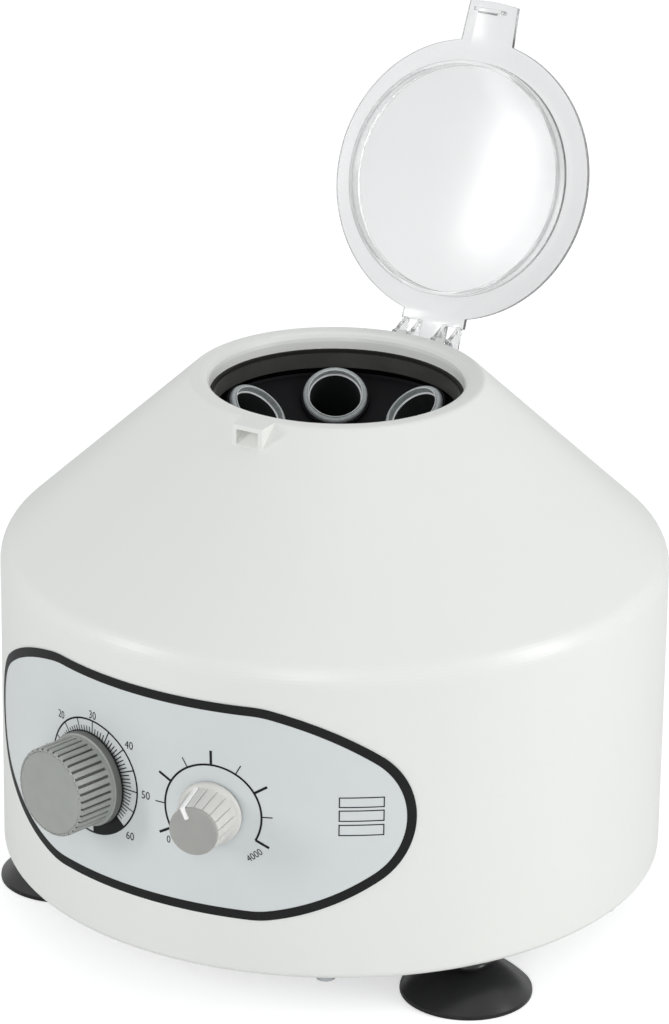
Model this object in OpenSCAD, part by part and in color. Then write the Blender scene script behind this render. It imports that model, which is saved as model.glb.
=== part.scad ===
// Bench-top tube centrifuge with a six-place fixed-angle head and a hinged clear lid.
// Z = 0 is the surface it stands on, the Z axis is the spindle, and the front faces -Y.

/* [Housing] */
// Outer diameter of the round housing
housing_d = 260; // [250:1:280]
// Height of the straight wall, from the bottom edge to the start of the cone
wall_h = 124; // [118:1:130]
// Height of the cone, from the top of the straight wall to the rim round the mouth
cone_h = 68.6; // [66:0.2:72]
// Outer diameter of the flat rim
rim_d = 113; // [110:0.5:116]
// Diameter of the mouth
mouth_d = 98; // [96:0.5:100]
// Thickness of the moulded wall
wall_t = 3; // [2.4:0.2:3.6]
// Radius of the shoulder between wall and cone
shoulder_r = 12; // [8:1:16]
// Radius of the bottom edge
edge_r = 2.8; // [1:0.2:2.8]
// Depth of the white collar inside the mouth
collar_h = 6.6; // [6:0.2:8]
// Thickness of the base plate
base_t = 3; // [2:0.5:4]
// Play of the base plate inside the wall
base_play = 0.4; // [0.3:0.1:0.8]
// Number of screws that hold the base plate
base_screw_count = 6; // [3:1:8]

/* [Feet] */
// Height of a rubber foot
foot_h = 22.5; // [20:0.5:26]
// Diameter of a foot where it meets the bench
foot_d = 51; // [46:1:54]
// Diameter of the neck of a foot
foot_neck_d = 17; // [14:1:20]
// Distance of a foot from the spindle axis
foot_place_r = 106.5; // [102:0.5:108]
// Height of the bell of a foot
bell_h = 13.4; // [11:0.2:15]

/* [Control panel] */
// Half length of the panel sheet along the wall
panel_half_l = 104.7; // [100:1:108]
// Half height of the panel sheet
panel_half_h = 43.4; // [40:0.2:46]
// Height of the panel centre above the bottom edge
panel_z = 66.6; // [62:0.1:70]
// Turn of the panel centre from the front line, in degrees
panel_az = -1.5; // [-3:0.1:3]
// Thickness of the panel sheet
panel_t = 0.4; // [0.3:0.1:0.8]

/* [Timer] */
// Turn of the timer axis from the front line, in degrees
timer_az = -13.4; // [-15:0.1:-12]
// Height of the timer axis above the panel centre
timer_rise = -1; // [-2.5:0.1:2.1]
// Diameter of the timer knob at its face
timer_face_d = 33.6; // [30:0.2:36]
// Diameter of the timer knob at its collar
timer_base_d = 37.4; // [36:0.2:40]
// Length of the timer knob
timer_knob_l = 20; // [17:0.1:24]
// Number of grip flutes round the timer knob
timer_flutes = 36; // [24:1:40]
// Diameter of the timer shaft
timer_shaft_d = 6; // [5:0.5:7]
// Gap between the clockwork case and the bowl above it
timer_case_gap = 5.3; // [4.3:0.1:8.3]
// Depth of the clockwork case
timer_case_d = 34; // [28:1:38]

/* [Speed control] */
// Turn of the speed control axis from the front line, in degrees
speed_az = 10.7; // [8:0.1:12]
// Height of the speed control axis above the panel centre
speed_rise = -1.2; // [-2.5:0.1:3.1]
// Diameter of the grey face of the speed knob
speed_face_d = 19.4; // [18:0.2:22]
// Diameter of the flange at the foot of the speed knob
speed_flange_d = 25; // [24:0.5:28]
// Length of the speed knob
speed_knob_l = 17.6; // [16.5:0.1:24]
// Number of grip ribs round the speed knob
speed_ribs = 18; // [14:1:20]
// Diameter of the speed control shaft
speed_shaft_d = 6; // [5:0.5:7]
// Diameter of the speed control case
speed_case_d = 24; // [20:1:28]
// Depth of the speed control case
speed_case_l = 12; // [10:1:16]

/* [Lid] */
// Diameter of the lid flange
lid_d = 111.4; // [110:0.2:113]
// Thickness of the lid plate
lid_t = 2; // [1.6:0.1:2.4]
// Outer diameter of the locating skirt under the lid
skirt_d = 93.2; // [92:0.2:95.4]
// Thickness of the locating skirt
skirt_t = 1.6; // [1.4:0.1:2.2]
// Depth of the locating skirt
skirt_h = 6.4; // [4:0.1:6.4]
// Gap between the closed lid and the rim
lid_gap = 0.3; // [0.2:0.1:0.6]
// Angle by which the lid stands open at rest
lid_open_deg = 110.25; // [100:0.25:115]
// Distance of the hinge axis behind the spindle axis
hinge_y = 65.3; // [64.8:0.1:66]
// Drop of the hinge axis below the underside of the closed lid
hinge_drop = 5.75; // [5.4:0.05:6]
// Radius of the hinge knuckles
knuckle_r = 2.6; // [2.3:0.1:2.8]
// Diameter of a hinge pin
hinge_pin_d = 2.5; // [2:0.1:3]
// Running clearance of a hinge pin in the lid, on the radius
pin_play = 0.08; // [0.05:0.01:0.1]
// Width of the hinge neck of the lid
neck_w = 28; // [27:0.5:30]
// Distance of the outer hinge ears from the middle
ear_out_x = 12; // [11.6:0.1:12.6]
// Distance of the inner hinge ears from the middle
ear_in_x = 5.5; // [5:0.1:5.8]
// Thickness of a hinge ear
ear_t = 1.8; // [1.4:0.1:2]
// Width of the front tab at the flange
tab_w = 23; // [21:0.5:25]
// Reach of the front tab from the lid centre
tab_r = 70.9; // [70:0.1:72]
// Width of the hook under the front tab
hook_w = 12.3; // [8:0.1:13]

/* [Catch] */
// Width of the catch in front of the mouth
catch_w = 13; // [12:0.5:15]
// Distance of the front face of the catch from the spindle axis
catch_y = 65.3; // [65:0.1:66]
// Width of the slot in the catch
slot_w = 9.4; // [8:0.2:9.8]
// Height of the slot in the catch
slot_h = 3.2; // [2.6:0.1:3.4]

/* [Head] */
// Number of tube sleeves
sleeve_count = 6; // [6]
// Angle of a sleeve from the vertical, in degrees
tilt_deg = 38; // [37:0.5:39.5]
// Radius of the ring of sleeve mouths
mouth_ring_r = 34; // [33.8:0.1:34.6]
// Depth of the centre of a sleeve mouth below the rim
mouth_drop = 19.8; // [19.2:0.1:20.6]
// Turn of the head at rest, in degrees
head_turn = 31.7; // [0:0.1:59]
// Diameter of the rim of a sleeve
sleeve_rim_d = 25.2; // [25:0.1:26.2]
// Thickness of the rim of a sleeve
sleeve_rim_t = 2.5; // [2.3:0.1:3]
// Outer diameter of a sleeve
sleeve_d = 22.5; // [22:0.1:23]
// Bore of a sleeve
sleeve_bore_d = 20; // [19:0.1:20.4]
// Depth of a sleeve below its mouth
sleeve_l = 85; // [78:1:88]
// Clearance between a sleeve and the head, on the radius
sleeve_play = 0.35; // [0.3:0.05:0.5]
// Diameter of the dished head plate
head_d = 99.6; // [99:0.2:101]
// Depth of the edge of the head plate below the rim
head_drop = 16.6; // [16:0.2:17.6]
// Slope of the head plate, in degrees
dish_deg = 32; // [31:0.5:33]
// Thickness of the dished head plate
head_t = 3.2; // [2.4:0.2:3.6]
// Diameter of the hub of the head
hub_d = 26; // [22:1:28]
// Land of the lower support disc outside its holes
disc_land = 6.8; // [5:0.1:9]
// Thickness of the lower support disc
disc_t = 4; // [3:0.5:5]
// Depth of the underside of the lower support disc below the rim
disc_drop = 64.6; // [62.6:0.5:66.6]

/* [Chamber] */
// Thickness of the black bowl
bowl_t = 2; // [1.5:0.1:2.4]
// Distance of the mouth of the bowl from the mouth of the housing above it
bowl_mouth_gap = 1.4; // [1.1:0.1:2]
// Distance of the outside of the bowl from the outside of the housing
bowl_gap = 14; // [12:0.5:16]
// Thickness of the rubber seal between bowl and collar
seal_t = 1.4; // [1:0.1:1.6]
// Clearance between the sleeves and the bowl floor
floor_gap = 4; // [3:0.5:6]

/* [Motor] */
// Outer diameter of the motor case
motor_d = 76; // [70:1:82]
// Gap between the top of the motor and the bowl above it
motor_gap = 6.9; // [4.9:0.1:10.9]
// Thickness of the motor case
motor_case_t = 1.5; // [1.2:0.1:2]
// Thickness of an end shield
shield_t = 4; // [3:0.5:5]
// Diameter of the drive shaft
shaft_d = 8; // [7:0.5:9]
// Running clearance of the drive shaft in its bushes, on the radius
bush_play = 0.04; // [0.02:0.01:0.08]
// Height of a rubber damper under the motor
damper_h = 8; // [6:0.5:9]
// Diameter of a rubber damper
damper_d = 15; // [12:1:18]

/* [Mains side] */
// Width of the mains inlet body
inlet_w = 27; // [26:0.5:30]
// Height of the mains inlet body
inlet_h = 20; // [19:0.5:22]
// Depth of the socket recess in the inlet
inlet_recess = 15; // [14:0.5:17]
// Height of the inlet above the bottom edge
inlet_z = 38; // [34:1:44]
// Distance of the fuse holder from the inlet
fuse_x = 28; // [26:0.5:30]
// Diameter of the fuse cap
fuse_cap_d = 15; // [13:0.5:17]

/* [Control board] */
// Length of the control board
board_l = 62; // [50:1:70]
// Width of the control board
board_w = 36; // [30:1:40]
// Thickness of the control board
board_t = 1.6; // [1.2:0.2:2]
// Height of the board pillars
pillar_h = 7; // [5:0.5:10]

/* [Hidden] */

$fn = 96;
cut = 1;
running_gap = 0.3;
thread_play = 0.1;

// Housing
housing_r = housing_d / 2;
rim_h = wall_h + cone_h;
rim_r = rim_d / 2;
mouth_r = mouth_d / 2;
inner_r = housing_r - wall_t;
slope_deg = atan2(rim_h - wall_h, housing_r - rim_r);
slope = tan(slope_deg);
rim_out_round = 3;
rim_in_round = 1.2;
collar_z = rim_h - collar_h;
collar_r = mouth_r + wall_t;
base_r = inner_r - base_play;
boss_r = 5;
boss_h = 30;
boss_place_r = inner_r - boss_r + 1;
base_screw_r = 1.9;
base_head_r = 3.6;
base_head_t = 2.2;
base_screw_l = 16;
base_screw_turn = 30;
vent_w = 4;
vent_l = 18;
vent_gap = 6;

// Feet
foot_azimuths = [-60, 60, 180];
foot_screw_r = 2.4;
foot_head_r = 4.6;
foot_head_t = 2.6;
foot_nut_w = 8;
foot_nut_t = 4;
cup_depth = 3;
foot_seat_z = cup_depth + foot_head_t + 0.6;

// Panel outline, as arcs that run into each other: a round end, a long side arc and a shoulder.
// The end takes what height the other two leave.
panel_side_r = 115;
panel_shoulder_r = 40;
panel_side_from = 56;
panel_side_to = 78;
panel_end_r = panel_side_r + (panel_half_h - panel_shoulder_r
    - (panel_side_r - panel_shoulder_r) * sin(panel_side_to)) / sin(panel_side_from);
panel_end_x = panel_half_l - panel_end_r;
panel_side_x = panel_end_x + (panel_end_r - panel_side_r) * cos(panel_side_from);
panel_shoulder_x = panel_side_x + (panel_side_r - panel_shoulder_r) * cos(panel_side_to);
// Layer of glue behind the sheet, which is part of its thickness
glue_t = 0.1;

// Timer and speed control
timer_z = panel_z + timer_rise;
speed_z = panel_z + speed_rise;
bush_r = 5;
bush_nut_w = 14;
bush_nut_t = 2.6;
knob_gap = 0.6;
timer_collar_l = 3.4;
timer_flute_r = 0.55;
shaft_in_knob = 11;
speed_flange_t = 2.4;
speed_cap_t = 1.6;
case_gap = 0.3;
// Inside face of the wall beside a control, which the flat case clears
function wall_sag(half_w) = inner_r - sqrt(inner_r * inner_r - half_w * half_w);

// Lid, drawn closed about the spindle axis and then swung open
lid_z = rim_h + lid_gap;
hinge_z = lid_z - hinge_drop;
lid_r = lid_d / 2;
neck_end_y = 58;
tongue_end_y = 64.3;
tab_shoulder = 0.4;
hook_t = 1.4;
hook_y = catch_y + lid_gap + 0.9;
hook_h = 4.3;
lug_gap = 0.4;
relief_gap = 0.5;
slot_top = 0.9;

// Head
mouth_ring_z = rim_h - mouth_drop;
head_edge_z = rim_h - head_drop;
disc_z = rim_h - disc_drop;
sleeve_r = sleeve_d / 2;
hub_r = hub_d / 2;
seat_r = sleeve_rim_d / 2 + 0.8;
seat_depth = 12;
seat_cut_l = 36;
head_r = head_d / 2;
dish_z = function (r) head_edge_z - (head_r - r) * tan(dish_deg);
hub_top_z = dish_z(hub_r) + 1.5;
head_lip = 6;
head_lip_t = 1.6;
washer_r = 9;
washer_t = 1.6;
nut_w = 14;
nut_h = 7;
nut_dome_r = 6.4;
sleeve_tip_r = 6;
sleeve_floor_t = 3;
sleeve_rim_round = 1.1;
sleeve_lip = 0.8;
sleeve_angles = [for (i = [0:sleeve_count - 1]) head_turn + i * 360 / sleeve_count];

// Chamber
bowl_mouth_r = mouth_r - bowl_mouth_gap;
bowl_r = housing_r - bowl_gap;
disc_hole_reach = mouth_ring_r + (mouth_ring_z - disc_z) * tan(tilt_deg)
    + (sleeve_r + sleeve_play) / cos(tilt_deg);
disc_r = disc_hole_reach + disc_land;
bowl_top_z = collar_z - seal_t;
bowl_floor_z = mouth_ring_z - sleeve_l * cos(tilt_deg) - sleeve_r * sin(tilt_deg) - floor_gap;
bowl_under_z = bowl_floor_z - bowl_t;
timer_case_w = 2 * (bowl_under_z - timer_case_gap - timer_z);
bowl_hole_r = 16;
bowl_lip_r = collar_r + 0.6;
bowl_wall_z = bowl_top_z - (bowl_r - bowl_lip_r) * slope;
cover_skirt = 6;
cover_z = bowl_wall_z - cover_skirt;
post_r = 5;
post_place_r = bowl_r - 20;
post_azimuths = [30, 150, 270];
post_screw_r = 1.9;
post_head_r = 3.8;
post_head_t = 2.4;

// Motor
motor_r = motor_d / 2;
shaft_r = shaft_d / 2;
motor_z = base_t + damper_h;
case_z = motor_z + shield_t;
boss_h_top = 5;
motor_l = bowl_under_z - motor_gap - boss_h_top - shield_t - case_z;
case_top_z = case_z + motor_l;
shield_top_z = case_top_z + shield_t;
boss_top_z = shield_top_z + boss_h_top;
bush_outer_r = shaft_r + 3;
bush_boss_r = bush_outer_r + 3;
stator_inner_r = 20;
stator_z = case_z + 14;
air_gap = 0.5;
armature_r = stator_inner_r - air_gap;
winding_r = 16;
winding_h = 7;
commutator_r = 10;
commutator_h = 10;
// The core fills what the windings, the commutator and the end spaces leave of the case
stator_h = motor_l - 14 - winding_h - commutator_h - 5;
commutator_z = stator_z + stator_h + winding_h;
brush_w = 6;
brush_h = 7;
brush_gap = 0.3;
brush_l = 14;
holder_t = 1.2;
damper_place_r = 28;
damper_screw_r = 1.9;
shaft_collar_r = 9;
shaft_collar_h = 8;
shaft_thread_r = shaft_r - 0.5;

// Mains side
pad_half_w = 46;
pad_half_h = 18;
pad_y = housing_r;
flange_t = 2;
flange_lip = 4;
fuse_hole_r = 6;
socket_w = 24;
socket_h = 16.4;
pin_w = 4;
pin_t = 2;
pin_l = 12;
pin_spacing = 7;
pin_rise = 4;
fuse_holder_l = 32;
cut_play = 0.2;

// Control board
board_x = 66;
sink_w = 24;
sink_t = 3;
sink_h = 26;
sink_fin_t = 1.5;
sink_fin_l = 6;
board_y = 34;
board_pillar_r = 3;
board_inset = 5;
board_z = base_t + pillar_h;

function arc(cx, cy, r, a0, a1, n) = [
    for (i = [0:n]) let (a = a0 + (a1 - a0) * i / n) [cx + r * cos(a), cy + r * sin(a)]
];
// Height of the outside of the cone at a distance from the spindle axis
function cone_z(r) = rim_h + (rim_r - r) * slope;
// Height of the inside of the cone at a distance from the spindle axis
function cone_in_z(r) = cone_z(r) - wall_t / cos(slope_deg);

// Everything above the feet is drawn from the bottom edge of the housing
module above_feet() { translate([0, 0, foot_h]) children(); }
// Copies round the spindle axis, with azimuth 0 at the front
module round_axis(angles) { for (a = angles) rotate([0, 0, a]) children(); }
// A place on the wall: Z points out of the wall, Y points up
module on_wall(az, h) {
    above_feet() rotate([0, 0, az]) translate([0, -housing_r, h]) rotate([90, 0, 0]) children();
}
// A place at a sleeve mouth: Z points out of the sleeve along its axis
module at_mouth(az) {
    above_feet() rotate([0, 0, az]) translate([0, -mouth_ring_r, mouth_ring_z])
        rotate([-tilt_deg, 0, 0]) children();
}
// The lid's own place when closed, swung open about the hinge axis
module swung_open() {
    above_feet() translate([0, hinge_y, hinge_z]) rotate([-lid_open_deg, 0, 0])
        translate([0, -hinge_y, hinge_drop]) children();
}
module tube(outer_r, bore_r, h) {
    difference() {
        cylinder(r = outer_r, h = h);
        translate([0, 0, -cut]) cylinder(r = bore_r, h = h + 2 * cut);
    }
}
module hexagon(w, h) { cylinder(d = w / cos(30), h = h, $fn = 6); }
module bar(size_x, size_y, h) { translate([-size_x / 2, -size_y / 2, 0]) cube([size_x, size_y, h]); }

// Profile of the moulded housing
module housing_profile() {
    shoulder_t = shoulder_r * tan((90 - slope_deg) / 2);
    rim_t = rim_out_round * tan(slope_deg / 2);
    under_rim_r = rim_r + (rim_h - wall_t / cos(slope_deg) - (rim_h - wall_t)) / slope;
    polygon(concat(
        [[inner_r, 0]],
        arc(housing_r - edge_r, edge_r, edge_r, -90, 0, 5),
        arc(housing_r - shoulder_r, wall_h - shoulder_t, shoulder_r, 0, 90 - slope_deg, 7),
        arc(rim_r - rim_t, rim_h - rim_out_round, rim_out_round, 90 - slope_deg, 90, 4),
        arc(mouth_r + rim_in_round, rim_h - rim_in_round, rim_in_round, 90, 180, 4),
        [[mouth_r, collar_z], [collar_r, collar_z], [collar_r, rim_h - wall_t]],
        [[under_rim_r, rim_h - wall_t], [inner_r, cone_in_z(inner_r)]]
    ));
}

// Catch in front of the mouth: two cheeks, a top and a front bar with a slot
module catch_block() {
    difference() {
        rotate([90, 0, -90]) translate([0, 0, -catch_w / 2]) linear_extrude(catch_w)
            polygon([[rim_r - 2, rim_h], [catch_y, rim_h], [catch_y, cone_z(catch_y) - 1],
                     [rim_r - 2, cone_z(catch_y) - 1]]);
        translate([-slot_w / 2, -catch_y - cut, rim_h - slot_top - slot_h])
            cube([slot_w, catch_y - rim_r + 2 * cut, slot_h]);
    }
}

// White lug of the housing, between two ears of the lid
module hinge_lug() {
    lug_x = ear_in_x + ear_t / 2 + lug_gap;
    lug_w = ear_out_x - ear_t / 2 - lug_gap - lug_x;
    foot_y = hinge_y + knuckle_r + 2;
    translate([lug_x, 0, 0]) rotate([90, 0, 90]) linear_extrude(lug_w)
        polygon([[hinge_y - knuckle_r, hinge_z], [hinge_y + knuckle_r, hinge_z],
                 [foot_y, cone_z(foot_y) - 1], [hinge_y - knuckle_r, cone_z(foot_y) - 1]]);
    translate([lug_x, hinge_y, hinge_z]) rotate([0, 90, 0]) cylinder(r = knuckle_r, h = lug_w);
}

module housing_shell() {
    color([0.90, 0.91, 0.89]) above_feet() difference() {
        union() {
            difference() {
                union() {
                    rotate_extrude() housing_profile();
                    round_axis([for (i = [0:base_screw_count - 1])
                                base_screw_turn + i * 360 / base_screw_count])
                        translate([0, -boss_place_r, base_t]) cylinder(r = boss_r, h = boss_h);
                    translate([-pad_half_w, inner_r - 8, inlet_z - pad_half_h])
                        cube([2 * pad_half_w, pad_y - inner_r + 8, 2 * pad_half_h]);
                }
                // Relief in the cone behind the hinge knuckles
                translate([-ear_out_x - ear_t / 2 - relief_gap, hinge_y, hinge_z]) rotate([0, 90, 0])
                    cylinder(r = knuckle_r + relief_gap, h = 2 * ear_out_x + ear_t + 2 * relief_gap);
            }
            intersection() {
                catch_block();
                cylinder(r = catch_y + catch_w, h = rim_h);
            }
            rotate_extrude() polygon([
                [collar_r, rim_h - wall_t], [rim_r - 2, rim_h - wall_t], [catch_y, cone_z(catch_y) - 2],
                [catch_y, cone_z(catch_y) - 3.5], [collar_r, rim_h - wall_t - 0.2]]);
            hinge_lug();
            mirror([1, 0, 0]) hinge_lug();
        }
        // Bore of the hinge pins in the lugs
        translate([-ear_out_x, hinge_y, hinge_z]) rotate([0, 90, 0])
            cylinder(d = hinge_pin_d + 2 * bush_play, h = 2 * ear_out_x);
        // Pilot holes in the bosses
        round_axis([for (i = [0:base_screw_count - 1]) base_screw_turn + i * 360 / base_screw_count])
            translate([0, -boss_place_r, 0]) cylinder(r = base_screw_r + thread_play, h = base_screw_l + 2);
        // Holes for the bushes of the timer and the speed control
        for (p = [[timer_az, timer_z], [speed_az, speed_z]])
            rotate([0, 0, p[0]]) translate([0, -inner_r + 6, p[1]]) rotate([90, 0, 0])
                cylinder(r = bush_r + thread_play, h = wall_t + 8);
        // Hollow behind the mains pad, and its two cut-outs
        translate([-pad_half_w + wall_t, inner_r - 8 - cut, inlet_z - pad_half_h + wall_t])
            cube([2 * (pad_half_w - wall_t), 8 + cut, 2 * (pad_half_h - wall_t)]);
        translate([-inlet_w / 2 - cut_play, inner_r - 10, inlet_z - inlet_h / 2 - cut_play])
            cube([inlet_w + 2 * cut_play, wall_t + 12, inlet_h + 2 * cut_play]);
        translate([fuse_x, inner_r - 10, inlet_z]) rotate([-90, 0, 0])
            cylinder(r = fuse_hole_r + thread_play, h = wall_t + 12);
    }
}

module base_plate() {
    color([0.80, 0.81, 0.80]) above_feet() difference() {
        cylinder(r = base_r, h = base_t);
        round_axis([for (i = [0:base_screw_count - 1]) base_screw_turn + i * 360 / base_screw_count])
            translate([0, -boss_place_r, -cut])
                cylinder(r = base_screw_r + thread_play, h = base_t + 2 * cut);
        round_axis(foot_azimuths)
            translate([0, -foot_place_r, -cut])
                cylinder(r = foot_screw_r + thread_play, h = base_t + 2 * cut);
        round_axis(foot_azimuths)
            translate([0, -damper_place_r, -cut])
                cylinder(r = damper_screw_r + thread_play, h = base_t + 2 * cut);
        // Cooling slots round the motor
        round_axis([for (i = [0:11]) 15 + i * 30])
            translate([-vent_w / 2, -motor_r - vent_gap - vent_l, -cut])
                cube([vent_w, vent_l, base_t + 2 * cut]);
    }
}

module base_screws() {
    color("silver") above_feet()
        round_axis([for (i = [0:base_screw_count - 1]) base_screw_turn + i * 360 / base_screw_count])
            translate([0, -boss_place_r, -base_head_t]) {
                cylinder(r = base_head_r, h = base_head_t);
                cylinder(r = base_screw_r, h = base_head_t + base_screw_l);
            }
}

// Bell-shaped suction foot with a round neck
module rubber_foot(az) {
    foot_r = foot_d / 2;
    neck_r = foot_neck_d / 2;
    crown_r = 4;
    neck_angle = acos((neck_r - crown_r) / (foot_r - crown_r));
    color([0.12, 0.12, 0.12]) rotate([0, 0, az]) translate([0, -foot_place_r, 0]) difference() {
        rotate_extrude() polygon(concat(
            [[0, cup_depth], [foot_r - 6, cup_depth], [foot_r - 3.5, 0], [foot_r - 0.6, 0], [foot_r, 1.2]],
            [for (i = [1:8]) let (a = i * neck_angle / 8)
                [crown_r + (foot_r - crown_r) * cos(a), 1.2 + (bell_h - 1.2) * sin(a)]],
            [[neck_r, foot_h], [0, foot_h]]
        ));
        translate([0, 0, -cut]) cylinder(r = foot_head_r + thread_play, h = foot_seat_z + cut);
        cylinder(r = foot_screw_r + thread_play, h = foot_h + cut);
    }
}
module foot_left() { rubber_foot(foot_azimuths[0]); }
module foot_right() { rubber_foot(foot_azimuths[1]); }
module foot_rear() { rubber_foot(foot_azimuths[2]); }

module foot_screws() {
    color("silver") round_axis(foot_azimuths) translate([0, -foot_place_r, foot_seat_z - foot_head_t]) {
        cylinder(r = foot_head_r, h = foot_head_t);
        cylinder(r = foot_screw_r, h = foot_h + base_t + foot_nut_t + 2 - foot_seat_z + foot_head_t);
    }
}

module foot_nuts() {
    color("silver") above_feet() round_axis(foot_azimuths)
        translate([0, -foot_place_r, base_t]) difference() {
            hexagon(foot_nut_w, foot_nut_t);
            translate([0, 0, -cut]) cylinder(r = foot_screw_r + thread_play, h = foot_nut_t + 2 * cut);
        }
}

// Quarter of the panel outline, from its end to the middle of its long side
function panel_quarter() = concat(
    arc(panel_end_x, 0, panel_end_r, 0, panel_side_from, 7),
    arc(panel_side_x, (panel_end_r - panel_side_r) * sin(panel_side_from), panel_side_r,
        panel_side_from + 3.7, panel_side_to, 5),
    arc(panel_shoulder_x, panel_half_h - panel_shoulder_r, panel_shoulder_r, panel_side_to + 4, 90, 2)
);
// A length along the wall, seen from the front
function flat_x(s) = housing_r * sin(s * 180 / (PI * housing_r));
module panel_outline() {
    q = panel_quarter();
    n = len(q);
    polygon(concat(
        [for (p = q) [flat_x(p[0]), p[1]]],
        [for (i = [n - 1:-1:0]) [-flat_x(q[i][0]), q[i][1]]],
        [for (i = [1:n - 1]) [-flat_x(q[i][0]), -q[i][1]]],
        [for (i = [n - 1:-1:1]) [flat_x(q[i][0]), -q[i][1]]]
    ));
}

module control_panel() {
    color([0.85, 0.88, 0.89]) above_feet() difference() {
        rotate([0, 0, panel_az]) intersection() {
            translate([0, 0, panel_z]) rotate([90, 0, 0]) linear_extrude(housing_r + 10) panel_outline();
            tube(housing_r + panel_t, housing_r + glue_t, wall_h);
        }
        for (p = [[timer_az, timer_z], [speed_az, speed_z]])
            rotate([0, 0, p[0]]) translate([0, -housing_r + 6, p[1]]) rotate([90, 0, 0])
                cylinder(r = bush_r + thread_play, h = 12);
    }
}

module timer_knob() {
    face_r = timer_face_d / 2;
    base_k = timer_base_d / 2;
    body_l = timer_knob_l - timer_collar_l;
    color([0.60, 0.62, 0.59]) on_wall(timer_az, timer_z) translate([0, 0, panel_t + knob_gap])
        difference() {
            union() {
                cylinder(r = base_k, h = timer_collar_l);
                translate([0, 0, timer_collar_l])
                    cylinder(r1 = base_k - 0.6, r2 = face_r, h = body_l - 0.5);
                cylinder(r = face_r - 0.7, h = timer_knob_l);
            }
            // Recess over the nut, and the shaft bore
            translate([0, 0, -cut]) cylinder(r = bush_nut_w * 0.66, h = bush_nut_t + 0.6 + cut);
            translate([0, 0, -cut]) cylinder(r = timer_shaft_d / 2 + bush_play, h = shaft_in_knob + cut);
            // Grip flutes, cut with round-bottomed grooves that follow the taper
            for (i = [0:timer_flutes - 1]) rotate([0, 0, i * 360 / timer_flutes])
                translate([base_k - 0.5, 0, timer_collar_l + 0.4])
                    rotate([0, -atan2(base_k - 0.6 - face_r, body_l), 0])
                        cylinder(r = timer_flute_r, h = body_l + 2, $fn = 16);
        }
}

module timer_shaft() {
    color("silver") on_wall(timer_az, timer_z) translate([0, 0, -wall_t - 8])
        cylinder(d = timer_shaft_d, h = wall_t + 8 + panel_t + knob_gap + shaft_in_knob - 0.5);
}

// Bush, nut thread and case of a control, behind and through the wall
module control_case(case_top, bore_d) {
    difference() {
        union() {
            translate([0, 0, -case_top - cut])
                cylinder(r = bush_r, h = case_top + cut + panel_t + bush_nut_t);
            children();
        }
        translate([0, 0, -case_top - 8]) cylinder(d = bore_d + 2 * bush_play, h = case_top + 8 + 10);
    }
}

module timer_case() {
    top = wall_t + wall_sag(timer_case_w / 2) + case_gap;
    color([0.75, 0.72, 0.60]) on_wall(timer_az, timer_z) control_case(top, timer_shaft_d)
        translate([0, 0, -top - timer_case_d]) bar(timer_case_w, timer_case_w, timer_case_d);
}

module bush_nut() {
    translate([0, 0, panel_t]) difference() {
        hexagon(bush_nut_w, bush_nut_t);
        translate([0, 0, -cut]) cylinder(r = bush_r + thread_play, h = bush_nut_t + 2 * cut);
    }
}
module timer_nut() { color("silver") on_wall(timer_az, timer_z) bush_nut(); }
module speed_nut() { color("silver") on_wall(speed_az, speed_z) bush_nut(); }

module speed_knob() {
    face_r = speed_face_d / 2;
    flange_r = speed_flange_d / 2;
    grip_l = speed_knob_l - speed_cap_t - speed_flange_t;
    color([0.84, 0.84, 0.82]) on_wall(speed_az, speed_z) translate([0, 0, panel_t + knob_gap])
        difference() {
            union() {
                cylinder(r1 = flange_r, r2 = flange_r - 0.6, h = speed_flange_t);
                translate([0, 0, speed_flange_t])
                    cylinder(r1 = flange_r - 1.9, r2 = face_r - 0.3, h = grip_l);
                for (i = [0:speed_ribs - 1]) rotate([0, 0, i * 360 / speed_ribs])
                    translate([flange_r - 2.2, 0, speed_flange_t])
                        rotate([0, -atan2(flange_r - 1.9 - face_r, grip_l), 0])
                            cylinder(r = 0.7, h = grip_l - 0.4, $fn = 16);
            }
            translate([0, 0, -cut]) cylinder(r = bush_nut_w * 0.62, h = bush_nut_t + 0.6 + cut);
            translate([0, 0, -cut]) cylinder(r = speed_shaft_d / 2 + bush_play, h = shaft_in_knob + cut);
        }
}

module speed_cap() {
    color([0.63, 0.63, 0.61]) on_wall(speed_az, speed_z)
        translate([0, 0, panel_t + knob_gap + speed_knob_l - speed_cap_t])
            cylinder(r1 = speed_face_d / 2, r2 = speed_face_d / 2 - 0.5, h = speed_cap_t);
}

module speed_shaft() {
    color("silver") on_wall(speed_az, speed_z) translate([0, 0, -wall_t - 6])
        cylinder(d = speed_shaft_d, h = wall_t + 6 + panel_t + knob_gap + shaft_in_knob - 0.5);
}

module speed_case() {
    top = wall_t + wall_sag(speed_case_d / 2) + case_gap;
    color([0.45, 0.47, 0.50]) on_wall(speed_az, speed_z) control_case(top, speed_shaft_d)
        translate([0, 0, -top - speed_case_l]) cylinder(d = speed_case_d, h = speed_case_l);
}

// One ear of the lid hinge: a gusset under the neck that ends in a knuckle
module hinge_ear(x) {
    translate([x - ear_t / 2, 0, 0]) rotate([90, 0, 90]) linear_extrude(ear_t)
        polygon([[lid_r - 4, lid_t], [hinge_y + 0.6, lid_t], [hinge_y + knuckle_r, 0],
                 [hinge_y + knuckle_r, -hinge_drop], [hinge_y - knuckle_r, -hinge_drop],
                 [neck_end_y - 0.5, 0], [lid_r - 4, 0]]);
    translate([x - ear_t / 2, hinge_y, -hinge_drop]) rotate([0, 90, 0]) cylinder(r = knuckle_r, h = ear_t);
}

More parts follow.
